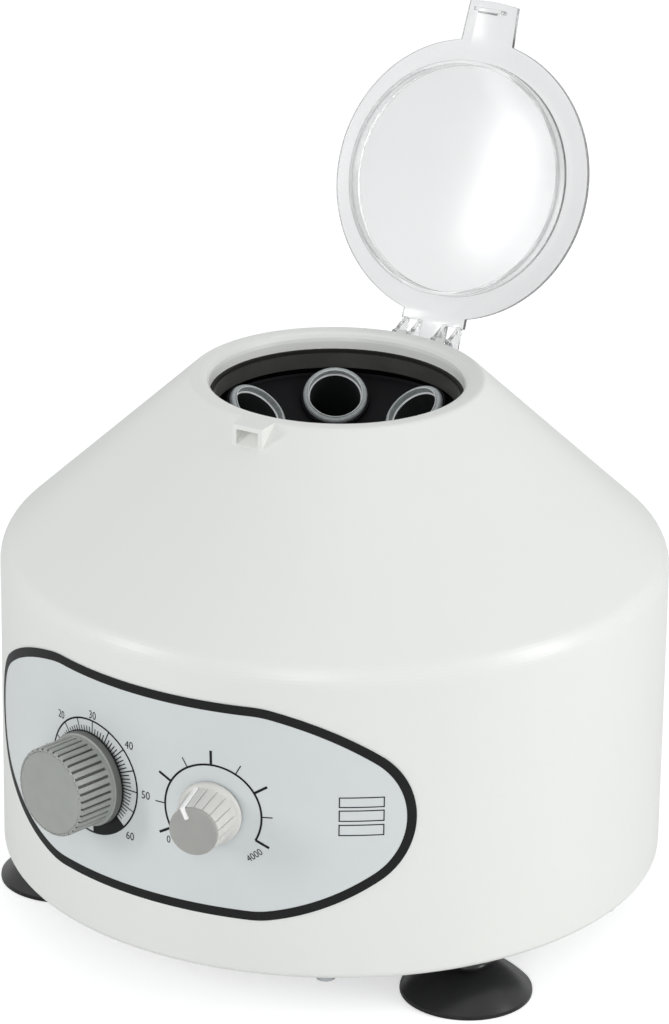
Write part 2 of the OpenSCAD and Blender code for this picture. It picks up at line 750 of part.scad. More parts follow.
module lid() {
    tongue_w = 2 * (ear_in_x - ear_t / 2);
    color([0.90, 0.93, 0.95, 0.45]) swung_open() difference() {
        union() {
            cylinder(r = lid_r, h = lid_t);
            translate([0, 0, -skirt_h]) tube(skirt_d / 2, skirt_d / 2 - skirt_t, skirt_h + lid_t / 2);
            // Front tab, ending on an arc about the lid centre
            intersection() {
                linear_extrude(lid_t) polygon([
                    [-tab_w / 2, -lid_r + 4], [-tab_w / 2, -lid_r],
                    [-tab_w / 2 + tab_shoulder * 2, -tab_r - 1], [tab_w / 2 - tab_shoulder * 2, -tab_r - 1],
                    [tab_w / 2, -lid_r], [tab_w / 2, -lid_r + 4]]);
                cylinder(r = tab_r, h = lid_t);
            }
            // Hook under the tab: a wall with a small lip that faces the catch
            translate([-hook_w / 2, -hook_y - hook_t, -hook_h]) cube([hook_w, hook_t, hook_h + lid_t / 2]);
            translate([-slot_w / 2 + 0.7, -hook_y - hook_t, -hook_h])
                cube([slot_w - 1.4, hook_y + hook_t - catch_y - lid_gap, 1.4]);
            // Hinge neck and its middle tongue
            translate([-neck_w / 2, lid_r - 8, 0]) cube([neck_w, neck_end_y - lid_r + 8, lid_t]);
            translate([-tongue_w / 2, lid_r - 8, 0]) cube([tongue_w, tongue_end_y - lid_r + 8, lid_t]);
            for (x = [-ear_out_x, -ear_in_x, ear_in_x, ear_out_x]) hinge_ear(x);
        }
        translate([-neck_w / 2, hinge_y, -hinge_drop]) rotate([0, 90, 0])
            cylinder(d = hinge_pin_d + 2 * pin_play, h = neck_w);
    }
}

module hinge_pins() {
    pin_x = ear_in_x - ear_t / 2;
    color("silver") above_feet() for (side = [0, 1]) mirror([side, 0, 0])
        translate([pin_x, hinge_y, hinge_z]) rotate([0, 90, 0])
            cylinder(d = hinge_pin_d, h = ear_out_x + ear_t / 2 - pin_x + 0.3);
}

// Round pot with a hole for the motor shaft
module chamber_bowl() {
    color([0.10, 0.10, 0.11]) above_feet() difference() {
        rotate_extrude() polygon([
            [bowl_r, cover_z], [bowl_r, bowl_under_z], [bowl_hole_r, bowl_under_z],
            [bowl_hole_r, bowl_floor_z], [bowl_r - bowl_t, bowl_floor_z], [bowl_r - bowl_t, cover_z]]);
        round_axis(post_azimuths) translate([0, -post_place_r, bowl_under_z - cut])
            cylinder(r = post_screw_r + thread_play, h = bowl_t + 2 * cut);
    }
}

// Conical cover that stands on the edge of the pot and ends in the mouth
module chamber_cover() {
    step = bowl_t / cos(slope_deg);
    color([0.10, 0.10, 0.11]) above_feet() rotate_extrude() polygon([
        [bowl_mouth_r, bowl_top_z], [bowl_lip_r, bowl_top_z], [bowl_r, bowl_wall_z],
        [bowl_r, cover_z], [bowl_r - bowl_t, cover_z],
        [bowl_r - bowl_t, bowl_wall_z - step + bowl_t * slope],
        [bowl_lip_r - (step - bowl_t) / slope, bowl_top_z - bowl_t], [bowl_mouth_r, bowl_top_z - bowl_t]]);
}

module chamber_seal() {
    color([0.14, 0.14, 0.14]) above_feet() translate([0, 0, bowl_top_z])
        tube(collar_r, bowl_mouth_r + 0.2, seal_t);
}

module bowl_posts() {
    color("silver") above_feet() round_axis(post_azimuths) translate([0, -post_place_r, base_t])
        difference() {
            cylinder(r = post_r, h = bowl_under_z - base_t);
            translate([0, 0, bowl_under_z - base_t - 14])
                cylinder(r = post_screw_r + thread_play, h = 14 + cut);
        }
}

module bowl_screws() {
    color("silver") above_feet() round_axis(post_azimuths) translate([0, -post_place_r, bowl_floor_z]) {
        cylinder(r = post_head_r, h = post_head_t);
        translate([0, 0, -12]) cylinder(r = post_screw_r, h = 12 + post_head_t);
    }
}

// Dished plate on a hub, with a raised seat round each sleeve
module rotor_head() {
    drop = head_t / cos(dish_deg);
    lip_in_r = head_r - head_lip_t;
    color([0.13, 0.13, 0.14]) above_feet() difference() {
        union() {
            rotate_extrude() polygon([
                [0, disc_z + disc_t], [hub_r, disc_z + disc_t], [hub_r, dish_z(hub_r) - drop],
                [lip_in_r, dish_z(lip_in_r) - drop], [lip_in_r, head_edge_z - head_lip],
                [head_r, head_edge_z - head_lip], [head_r, head_edge_z - 0.8],
                [head_r - 0.6, head_edge_z], [head_r - 1.2, dish_z(head_r - 1.2)],
                [hub_r + 1.8, dish_z(hub_r + 1.8)], [hub_r, hub_top_z], [0, hub_top_z]]);
            round_axis(sleeve_angles) translate([0, -mouth_ring_r, mouth_ring_z]) rotate([-tilt_deg, 0, 0])
                translate([0, 0, -sleeve_rim_t - seat_depth]) cylinder(r = seat_r, h = seat_depth);
        }
        translate([0, 0, disc_z]) cylinder(r = shaft_r + bush_play, h = hub_top_z - disc_z + cut);
        round_axis(sleeve_angles) translate([0, -mouth_ring_r, mouth_ring_z]) rotate([-tilt_deg, 0, 0])
            translate([0, 0, -seat_cut_l]) cylinder(r = sleeve_r + sleeve_play, h = seat_cut_l + cut);
    }
}

module rotor_disc() {
    color([0.16, 0.16, 0.17]) above_feet() difference() {
        translate([0, 0, disc_z]) cylinder(r = disc_r, h = disc_t);
        translate([0, 0, disc_z - cut]) cylinder(r = shaft_r + bush_play, h = disc_t + 2 * cut);
        round_axis(sleeve_angles) translate([0, -mouth_ring_r, mouth_ring_z]) rotate([-tilt_deg, 0, 0])
            translate([0, 0, -sleeve_l]) cylinder(r = sleeve_r + sleeve_play, h = sleeve_l);
    }
}

module rotor_washer() {
    color("silver") above_feet() translate([0, 0, hub_top_z])
        tube(washer_r, shaft_thread_r + thread_play, washer_t);
}

module rotor_nut() {
    color([0.20, 0.20, 0.21]) above_feet() translate([0, 0, hub_top_z + washer_t]) difference() {
        union() {
            hexagon(nut_w, nut_h);
            intersection() {
                translate([0, 0, nut_h - 2]) sphere(r = nut_dome_r);
                translate([0, 0, nut_h]) cylinder(r = nut_w, h = nut_dome_r);
            }
        }
        translate([0, 0, -cut]) cylinder(r = shaft_thread_r + thread_play, h = nut_h + cut);
    }
}

// Translucent sleeve that hangs by its rim in the head
module tube_sleeve(i) {
    rim = sleeve_rim_d / 2;
    bore = sleeve_bore_d / 2;
    color([0.62, 0.65, 0.66]) at_mouth(sleeve_angles[i]) rotate_extrude() polygon(concat(
        [[bore, -sleeve_l + sleeve_floor_t + sleeve_tip_r], [bore, -sleeve_lip], [bore + sleeve_lip, 0]],
        arc(rim - sleeve_rim_round, -sleeve_rim_round, sleeve_rim_round, 90, 0, 4),
        [[rim, -sleeve_rim_t], [sleeve_r, -sleeve_rim_t]],
        arc(sleeve_r - sleeve_tip_r, -sleeve_l + sleeve_tip_r, sleeve_tip_r, 0, -90, 6),
        [[0, -sleeve_l], [0, -sleeve_l + sleeve_floor_t]],
        arc(bore - sleeve_tip_r, -sleeve_l + sleeve_floor_t + sleeve_tip_r, sleeve_tip_r, -90, -10, 6)
    ));
}
module tube_sleeve_1() { tube_sleeve(0); }
module tube_sleeve_2() { tube_sleeve(1); }
module tube_sleeve_3() { tube_sleeve(2); }
module tube_sleeve_4() { tube_sleeve(3); }
module tube_sleeve_5() { tube_sleeve(4); }
module tube_sleeve_6() { tube_sleeve(5); }

module motor_case() {
    color([0.62, 0.63, 0.65]) above_feet() translate([0, 0, case_z])
        tube(motor_r, motor_r - motor_case_t, motor_l);
}

module upper_shield() {
    color([0.66, 0.67, 0.68]) above_feet() difference() {
        union() {
            translate([0, 0, case_top_z]) cylinder(r = motor_r, h = shield_t);
            translate([0, 0, case_top_z]) cylinder(r = bush_boss_r, h = boss_top_z - case_top_z);
        }
        translate([0, 0, case_top_z - cut])
            cylinder(r = bush_outer_r, h = boss_top_z - case_top_z + 2 * cut);
    }
}

module lower_shield() {
    color([0.66, 0.67, 0.68]) above_feet() difference() {
        union() {
            translate([0, 0, motor_z]) cylinder(r = motor_r, h = shield_t);
            translate([0, 0, motor_z]) cylinder(r = bush_boss_r, h = shield_t + 5);
        }
        translate([0, 0, motor_z - cut]) cylinder(r = bush_outer_r, h = shield_t + 5 + 2 * cut);
        round_axis(foot_azimuths) translate([0, -damper_place_r, motor_z - cut])
            cylinder(r = damper_screw_r + thread_play, h = shield_t + 2 * cut);
    }
}

module upper_bush() {
    color([0.72, 0.58, 0.32]) above_feet() translate([0, 0, case_top_z])
        tube(bush_outer_r, shaft_r + bush_play, boss_top_z - case_top_z);
}

module lower_bush() {
    color([0.72, 0.58, 0.32]) above_feet() translate([0, 0, motor_z])
        tube(bush_outer_r, shaft_r + bush_play, shield_t + 5);
}

module stator_core() {
    yoke = 6;
    color([0.40, 0.41, 0.43]) above_feet() translate([0, 0, stator_z]) difference() {
        cylinder(r = motor_r - motor_case_t, h = stator_h);
        translate([0, 0, -cut]) cylinder(r = stator_inner_r, h = stator_h + 2 * cut);
        // Two windows that leave the poles at the front and back
        for (side = [-1, 1]) translate([side * (stator_inner_r + 5), 0, -cut])
            bar(motor_r - stator_inner_r - yoke, 2 * stator_inner_r - 6, stator_h + 2 * cut);
    }
}

module field_coils() {
    coil_r0 = stator_inner_r + 1;
    coil_r1 = motor_r - motor_case_t - 5;
    color([0.70, 0.36, 0.16]) above_feet() for (z = [stator_z - 7, stator_z + stator_h])
        translate([0, 0, z]) tube(coil_r1, coil_r0, 7);
}

module armature_core() {
    slots = 12;
    color([0.42, 0.43, 0.45]) above_feet() translate([0, 0, stator_z]) difference() {
        cylinder(r = armature_r, h = stator_h);
        translate([0, 0, -cut]) cylinder(r = shaft_r, h = stator_h + 2 * cut);
        round_axis([for (i = [0:slots - 1]) i * 360 / slots])
            translate([-1, -armature_r - cut, -cut]) cube([2, 7, stator_h + 2 * cut]);
    }
}

module armature_winding() {
    color([0.74, 0.40, 0.18]) above_feet() for (z = [stator_z - winding_h, stator_z + stator_h])
        translate([0, 0, z]) tube(winding_r, shaft_r, winding_h);
}

module commutator() {
    bars = 24;
    color([0.78, 0.47, 0.28]) above_feet() translate([0, 0, commutator_z]) difference() {
        cylinder(r = commutator_r, h = commutator_h);
        translate([0, 0, -cut]) cylinder(r = shaft_r, h = commutator_h + 2 * cut);
        round_axis([for (i = [0:bars - 1]) i * 360 / bars])
            translate([-0.3, -commutator_r - cut, -cut]) cube([0.6, 1.8, commutator_h + 2 * cut]);
    }
}

module carbon_brushes() {
    color([0.22, 0.22, 0.23]) above_feet() for (side = [-1, 1])
        translate([side * (commutator_r + brush_gap + brush_l / 2), 0, commutator_z + 1.5])
            bar(brush_l, brush_w, brush_h);
}

// Square tube that guides a brush, with its foot against the case
module brush_holders() {
    holder_x = commutator_r + 4;
    holder_l = motor_r - motor_case_t - 3 - holder_x;
    color([0.55, 0.42, 0.20]) above_feet() for (side = [0, 1]) mirror([side, 0, 0]) {
        difference() {
            translate([holder_x + holder_l / 2, 0, commutator_z + 1.5 - holder_t])
                bar(holder_l, brush_w + 2 * holder_t, brush_h + 2 * holder_t);
            translate([holder_x + holder_l / 2, 0, commutator_z + 1.5])
                bar(holder_l + 2 * cut, brush_w, brush_h);
        }
        translate([holder_x + holder_l - 4, 0, commutator_z + 1.5 + brush_h + holder_t])
            bar(8, brush_w + 2 * holder_t, case_top_z - commutator_z - 1.5 - brush_h - holder_t);
    }
}

module drive_shaft() {
    thread_l = washer_t + nut_h - 0.6;
    color([0.80, 0.81, 0.82]) above_feet() {
        translate([0, 0, motor_z + 1]) cylinder(r = shaft_r, h = hub_top_z - motor_z - 1);
        translate([0, 0, hub_top_z]) cylinder(r = shaft_thread_r, h = thread_l);
        translate([0, 0, disc_z - shaft_collar_h]) cylinder(r = shaft_collar_r, h = shaft_collar_h);
    }
}

module motor_dampers() {
    color([0.14, 0.14, 0.14]) above_feet() round_axis(foot_azimuths)
        translate([0, -damper_place_r, base_t]) tube(damper_d / 2, damper_screw_r + thread_play, damper_h);
}

module motor_screws() {
    color("silver") above_feet() round_axis(foot_azimuths) translate([0, -damper_place_r, -2]) {
        cylinder(r = 3.6, h = 2);
        cylinder(r = damper_screw_r, h = 2 + base_t + damper_h + shield_t - 0.5);
    }
}

module board_corners() {
    for (x = [-1, 1], y = [-1, 1])
        translate([board_x + x * (board_l / 2 - board_inset), board_y + y * (board_w / 2 - board_inset), 0])
            children();
}

module control_board() {
    color([0.16, 0.42, 0.22]) above_feet() difference() {
        translate([board_x, board_y, board_z]) bar(board_l, board_w, board_t);
        translate([0, 0, board_z - cut]) board_corners() cylinder(r = 1.6, h = board_t + 2 * cut);
    }
}

module board_pillars() {
    color([0.85, 0.85, 0.80]) above_feet() translate([0, 0, base_t]) board_corners() {
        cylinder(r = board_pillar_r, h = pillar_h);
        cylinder(r = 1.4, h = pillar_h + board_t + 1);
    }
}

module capacitor() {
    color([0.20, 0.30, 0.60]) above_feet() translate([board_x + 14, board_y + 4, board_z + board_t])
        cylinder(r = 6, h = 22);
}

module heat_sink() {
    fins = 5;
    fin_step = sink_w / fins;
    color([0.72, 0.73, 0.75]) above_feet() translate([board_x - 12, board_y + 4, board_z + board_t]) {
        bar(sink_w, sink_t, sink_h);
        for (i = [0:fins - 1]) translate([(i - (fins - 1) / 2) * fin_step, sink_t + 1, 0])
            bar(sink_fin_t, sink_fin_l, sink_h);
    }
}

module triac() {
    color([0.12, 0.12, 0.13]) above_feet()
        translate([board_x - 12, board_y + 4 - 1.5 - 2.2, board_z + board_t]) bar(10, 4.4, 16);
}

module terminal_block() {
    color([0.20, 0.45, 0.30]) above_feet() translate([board_x + 14, board_y - 10, board_z + board_t])
        difference() {
            bar(20, 8, 10);
            for (i = [-1:1]) translate([i * 6, 0, 5]) cylinder(r = 1.6, h = 6);
        }
}

// Mains inlet: a flange outside the pad, a body through it and a socket recess
module power_inlet() {
    body_l = inlet_recess + 6;
    color([0.13, 0.13, 0.13]) above_feet() translate([0, pad_y + flange_t, inlet_z]) rotate([90, 0, 0])
        difference() {
            union() {
                bar(inlet_w + 2 * flange_lip, inlet_h + 2 * flange_lip, flange_t);
                bar(inlet_w, inlet_h, body_l);
            }
            translate([0, 0, -cut]) bar(socket_w, socket_h, inlet_recess + cut);
            for (p = [[-pin_spacing, -pin_rise / 2], [pin_spacing, -pin_rise / 2], [0, pin_rise / 2]])
                translate([p[0], p[1], 0]) bar(pin_t, pin_w, body_l + cut);
        }
}

module inlet_pins() {
    body_l = inlet_recess + 6;
    color([0.78, 0.66, 0.40]) above_feet() translate([0, pad_y + flange_t, inlet_z]) rotate([90, 0, 0])
        for (p = [[-pin_spacing, -pin_rise / 2], [pin_spacing, -pin_rise / 2], [0, pin_rise / 2]])
            translate([p[0], p[1], inlet_recess - pin_l]) bar(pin_t, pin_w, pin_l + 14);
}

module fuse_holder() {
    color([0.13, 0.13, 0.13]) above_feet() translate([fuse_x, pad_y, inlet_z]) rotate([90, 0, 0])
        difference() {
            translate([0, 0, -2]) union() {
                cylinder(r = fuse_hole_r + 2.4, h = 2);
                cylinder(r = fuse_hole_r, h = fuse_holder_l);
            }
            translate([0, 0, -2 - cut]) cylinder(r = fuse_hole_r - 2, h = fuse_holder_l - 2);
        }
}

module fuse_cap() {
    color([0.16, 0.16, 0.16]) above_feet() translate([fuse_x, pad_y + 2, inlet_z]) rotate([-90, 0, 0])
        difference() {
            union() {
                cylinder(d1 = fuse_cap_d, d2 = fuse_cap_d - 2, h = 8);
                translate([0, 0, -14]) cylinder(r = fuse_hole_r - 2.2, h = 15);
            }
            translate([0, 0, 6.4]) bar(fuse_cap_d, 1.6, 3);
        }
}

housing_shell();
base_plate();
base_screws();
foot_left();
foot_right();
foot_rear();
foot_screws();
foot_nuts();
control_panel();
timer_knob();
timer_shaft();
timer_case();
timer_nut();
speed_knob();
speed_cap();
speed_shaft();
speed_case();
speed_nut();
lid();
hinge_pins();
chamber_bowl();
chamber_cover();
chamber_seal();
bowl_posts();
bowl_screws();
rotor_head();
rotor_disc();
rotor_washer();
rotor_nut();
tube_sleeve_1();
tube_sleeve_2();
tube_sleeve_3();
tube_sleeve_4();
tube_sleeve_5();
tube_sleeve_6();
motor_case();
upper_shield();
lower_shield();
upper_bush();
lower_bush();
stator_core();
field_coils();
armature_core();
armature_winding();
commutator();
carbon_brushes();
brush_holders();
drive_shaft();
motor_dampers();
motor_screws();
control_board();
board_pillars();
capacitor();
heat_sink();
triac();
terminal_block();
power_inlet();
inlet_pins();
fuse_holder();
fuse_cap();
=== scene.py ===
import math

import bmesh
import bpy
from mathutils import Matrix, Vector


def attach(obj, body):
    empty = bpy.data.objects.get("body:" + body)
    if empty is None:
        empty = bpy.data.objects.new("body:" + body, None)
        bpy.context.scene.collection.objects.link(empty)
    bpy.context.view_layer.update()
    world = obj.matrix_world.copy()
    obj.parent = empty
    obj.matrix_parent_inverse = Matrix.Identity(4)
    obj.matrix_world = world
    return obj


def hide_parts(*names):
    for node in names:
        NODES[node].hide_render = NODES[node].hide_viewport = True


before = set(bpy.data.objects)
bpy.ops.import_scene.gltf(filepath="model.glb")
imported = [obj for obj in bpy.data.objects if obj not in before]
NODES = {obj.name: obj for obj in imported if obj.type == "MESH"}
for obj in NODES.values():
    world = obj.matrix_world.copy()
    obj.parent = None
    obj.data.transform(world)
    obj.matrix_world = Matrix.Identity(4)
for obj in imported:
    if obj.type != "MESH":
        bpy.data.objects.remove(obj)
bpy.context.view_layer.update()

MM = 0.001

# Sizes in mm and angles in degrees. Heights are from the housing's bottom edge, but those of the
# feet are from the floor. Azimuths are from the front line, where -Y points.
FOOT_H = 22.5
HOUSING_R = 130.0
PANEL_T = 0.4
PRINT_R = HOUSING_R + PANEL_T
PRINT_LIFT = 0.06
NUMBER_LIFT = 0.09

# The panel's outline: its middle, half sizes, the radii of its side and shoulder, and the angles
# where its arcs meet; then the steps along its end, side, shoulder and flat part
PANEL_AZ = -1.5
PANEL_Z = 66.6
PANEL_HALF_L = 104.7
PANEL_HALF_H = 43.4
PANEL_SIDE_R = 115.0
PANEL_SHOULDER_R = 40.0
PANEL_SIDE_FROM = 56.0
PANEL_SIDE_TO = 78.0
PANEL_STEPS = (28, 22, 8, 24)
BORDER_W = 3.75
BORDER_GAP = 0.05

# The printed scales: their middles on the sheet, as length and height
TIMER_SCALE = (-29.9, 66.1)
TIMER_RING_R = 22.9
TIMER_RING_HALF_W = 0.36
TIMER_TICK_R = 15.5
TIMER_SHORT_TICK_R = 20.1
TIMER_TICK_W = 0.46
TIMER_SHORT_TICK_W = 0.42
TIMER_SECTOR_R = 9.0
TIMER_NOTCH = (177.5, 186.5)
TIMER_TOP = 2.0
MINUTE = 4.39
ZERO_ANGLE = TIMER_TOP - 30 * MINUTE
TIMER_NUMBER_R = {10: 26.6, 20: 26.2, 30: 25.3, 40: 26.6, 50: 26.8, 60: 27.0, 0: 26.2}
TIMER_NUMBER_H = 3.3
SPEED_SCALE = (24.65, 65.3)
SPEED_ARC_R = 19.2
SPEED_ARC_HALF_W = 0.4
SPEED_ARC_FROM = -120.5
SPEED_ARC_TO = 118
SPEED_TICK_FROM = -120
SPEED_TICK_STEP = 29.7
SPEED_TICK_COUNT = 9
SPEED_BOLD_TICK = (25.0, 1.0)
SPEED_THIN_TICK = (23.4, 0.45)
# Text, place on the sheet, height and turn
SPEED_NUMBERS = [("0", (6.9, 50.7), 3.0, 0.0), ("4000", (41.2, 50.2), 2.85, 38)]
FRAME_HEIGHTS = [(71.4, 75.7), (65.8, 70.4), (60.0, 64.6)]
FRAME_LEFT = 72.4
FRAME_RIGHT = 89.4
FRAME_LINE = 0.45

# Knobs
TIMER_AZ = -13.4
TIMER_Z = 65.6
TIMER_L = 19.87
TIMER_BORE_R = 9.4
TIMER_FACE_R = 17.15
TIMER_BASE_R = 18.4
TIMER_SHADOW_R = 18.7
TIMER_GROOVES = 36
TIMER_GROOVE_DEPTH = 0.9
TIMER_GROOVE_WIDTH = 0.4
TIMER_GROOVE_STEPS = 20
SPEED_AZ = 10.7
SPEED_Z = 65.4
SPEED_L = 17.6
SPEED_BORE_R = 7.6
SPEED_FLANGE_R = 12.5
SPEED_FOOT_R = 10.9
SPEED_FACE_R = 9.75
SPEED_CAP_T = 1.2
SPEED_GROOVES = 18
SPEED_GROOVE_DEPTH = 0.6
SPEED_GROOVE_WIDTH = 0.16
SPEED_GROOVE_STEPS = 24
POINTER_HALF_W = 0.95
POINTER_T = 0.42
POINTER_SUNK = 0.2
POINTER_TURN = 25
KNOB_GAP = 0.6

# Feet
FOOT_AZ = {"foot_left": -60, "foot_right": 60, "foot_rear": 180}
FOOT_PLACE_R = 106.5
FOOT_BORE_R = 4.7
FOOT_NECK_R = 8.9
FOOT_FLARE_R = 25.3
FOOT_FLARE_Z = 1.9
FOOT_BELL_Z = 13.3
FOOT_CROWN_R = 4.0
FOOT_BEND = 0.35

# Sleeves in the head
TILT = 38.0
MOUTH_RING_R = 34.0
MOUTH_RING_Z = 172.8
HEAD_TURN = 31.7
SLEEVE_L = 85.0
SLEEVE_BORE_R = 10.0
SLEEVE_WALL_R = 11.25
SLEEVE_RIM_R = 12.6
SLEEVE_TIP_R = 6.0
SLEEVE_FLOOR_T = 3.0

# Housing: its mouth, and the catch's slot with each of its heights in the CAD and here
MOUTH_R = 49.0
RIM_Z = 192.6
CAD_MOUTH_ROUND = 1.2
MOUTH_ROUND = 3.5
CATCH_FRONT = 65.3
SLOT_HALF_W = 4.7
SLOT_HEIGHTS = {188.5: 184.5, 191.7: 190.7}
VERTEX_SLACK = 0.05

# Chamber's neck and lid
NECK_R = 47.6
NECK_T = 0.6
NECK_LOW_Z = 178.6
NECK_TOP_Z = 184.6
LID_ROUND = 0.35
LID_FLAT_ANGLE = 0.4
LID_CORNER_ANGLE = 28
LID_SHARP_ANGLE = 26
LID_MERGE = 0.002

# Meshes in general
MERGE = 0.0001
TURNED_SHARP_ANGLE = 32
RIBBED_SHARP_ANGLE = 40
POINTER_SHARP_ANGLE = 50
AROUND = 96
AROUND_LARGE = 128
GROOVE_STEEPNESS = 2.2
# Share of a groove's width that gets the painted shade
GROOVE_SHADE_SHARE = 0.8
GROOVE_DEEP_SHARE = 0.7
CAPITAL_SHARE = 0.72
NUMBER_NARROWING = 0.86

# Noise in the materials
NOISE_DETAIL = 4.0
GRAIN_DETAIL = 3.0
GRAIN_DEPTH_M = 0.0002
RAMP_FROM, RAMP_TO = 0.3, 0.7
LEAST_ROUGH = 0.02

# Studio, in metres; a lamp has a place, an aim, a width, a height and a level
LAMPS = {
    "key": ((0.87, -2.26, 1.0), (0, 0, 0.15), 0.35, 1.5, 0.175),
    "side": ((2.2, 0.5, 0.9), (0, 0, 0.15), 0.6, 1.5, 0.40),
    "fill": ((-1.4, -1.72, 0.95), (0.03, 0.1, 0.26), 0.34, 0.9, 0.19),
    "top": ((0.1, 0.3, 2.2), (0, 0, 0.15), 1.6, 1.6, 0.05),
}
WORLD_LIGHT = 0.5
WORLD_SHOWN = 1.0
FLOOR_HALF = 12.0
FLOOR_GLOW = 0.5

# Camera, fitted to the photograph: its place in mm and degrees, and its focal length in pixels
CAMERA_DISTANCE = 1832.1
CAMERA_ELEVATION = 21.66
CAMERA_AZIMUTH = 30.98
CAMERA_ROLL = 0.62
CAMERA_SIDE = -9.87
CAMERA_MIDDLE_Z = 143.88
FOCAL_PX = 4729.01
PICTURE_H_PX = 1024
SENSOR_MM = 36.0
SHIFT = (0.0238, -0.0181)
CLIP_NEAR, CLIP_FAR = 0.05, 100


# ---- materials

def linear(value):
    value = value / 255.0
    return value / 12.92 if value <= 0.04045 else ((value + 0.055) / 1.055) ** 2.4


def rgb(r, g, b):
    return (linear(r), linear(g), linear(b))


def link(tree, out_node, out_key, in_node, in_key):
    """Joins two sockets; a key is a socket's name or its place in the list."""
    tree.links.new(out_node.outputs[out_key], in_node.inputs[in_key])


def material(name, colour, rough, spread, scale, rough_spread, grain=0.0, grain_scale=1.0,
             stretch=(1, 1, 1), sockets=None):
    """Noise over the object's own coordinates varies the colour, roughness and fine relief."""
    mat = bpy.data.materials.new(name)
    mat.use_nodes = True
    tree = mat.node_tree
    shader = tree.nodes["Principled BSDF"]
    for key, value in (sockets or {}).items():
        shader.inputs[key].default_value = value
    coord = tree.nodes.new("ShaderNodeTexCoord")
    place = tree.nodes.new("ShaderNodeMapping")
    place.inputs["Scale"].default_value = stretch
    link(tree, coord, "Object", place, "Vector")
    noise = tree.nodes.new("ShaderNodeTexNoise")
    noise.inputs["Scale"].default_value = scale
    noise.inputs["Detail"].default_value = NOISE_DETAIL
    link(tree, place, "Vector", noise, "Vector")
    ramp = tree.nodes.new("ShaderNodeValToRGB")
    dark, light = ramp.color_ramp.elements
    dark.position, light.position = RAMP_FROM, RAMP_TO
    dark.color = tuple(c * (1 - spread) for c in colour) + (1,)
    light.color = tuple(min(c * (1 + spread), 1) for c in colour) + (1,)
    link(tree, noise, "Fac", ramp, "Fac")
    link(tree, ramp, "Color", shader, "Base Color")
    span = tree.nodes.new("ShaderNodeMapRange")
    span.inputs["To Min"].default_value = max(rough - rough_spread, LEAST_ROUGH)
    span.inputs["To Max"].default_value = min(rough + rough_spread, 1.0)
    link(tree, noise, "Fac", span, "Value")
    link(tree, span, "Result", shader, "Roughness")
    if grain:
        fine = tree.nodes.new("ShaderNodeTexNoise")
        fine.inputs["Scale"].default_value = grain_scale
        fine.inputs["Detail"].default_value = GRAIN_DETAIL
        link(tree, place, "Vector", fine, "Vector")
        bump = tree.nodes.new("ShaderNodeBump")
        bump.inputs["Strength"].default_value = grain
        bump.inputs["Distance"].default_value = GRAIN_DEPTH_M
        link(tree, fine, "Fac", bump, "Height")
        link(tree, bump, "Normal", shader, "Normal")
    return mat


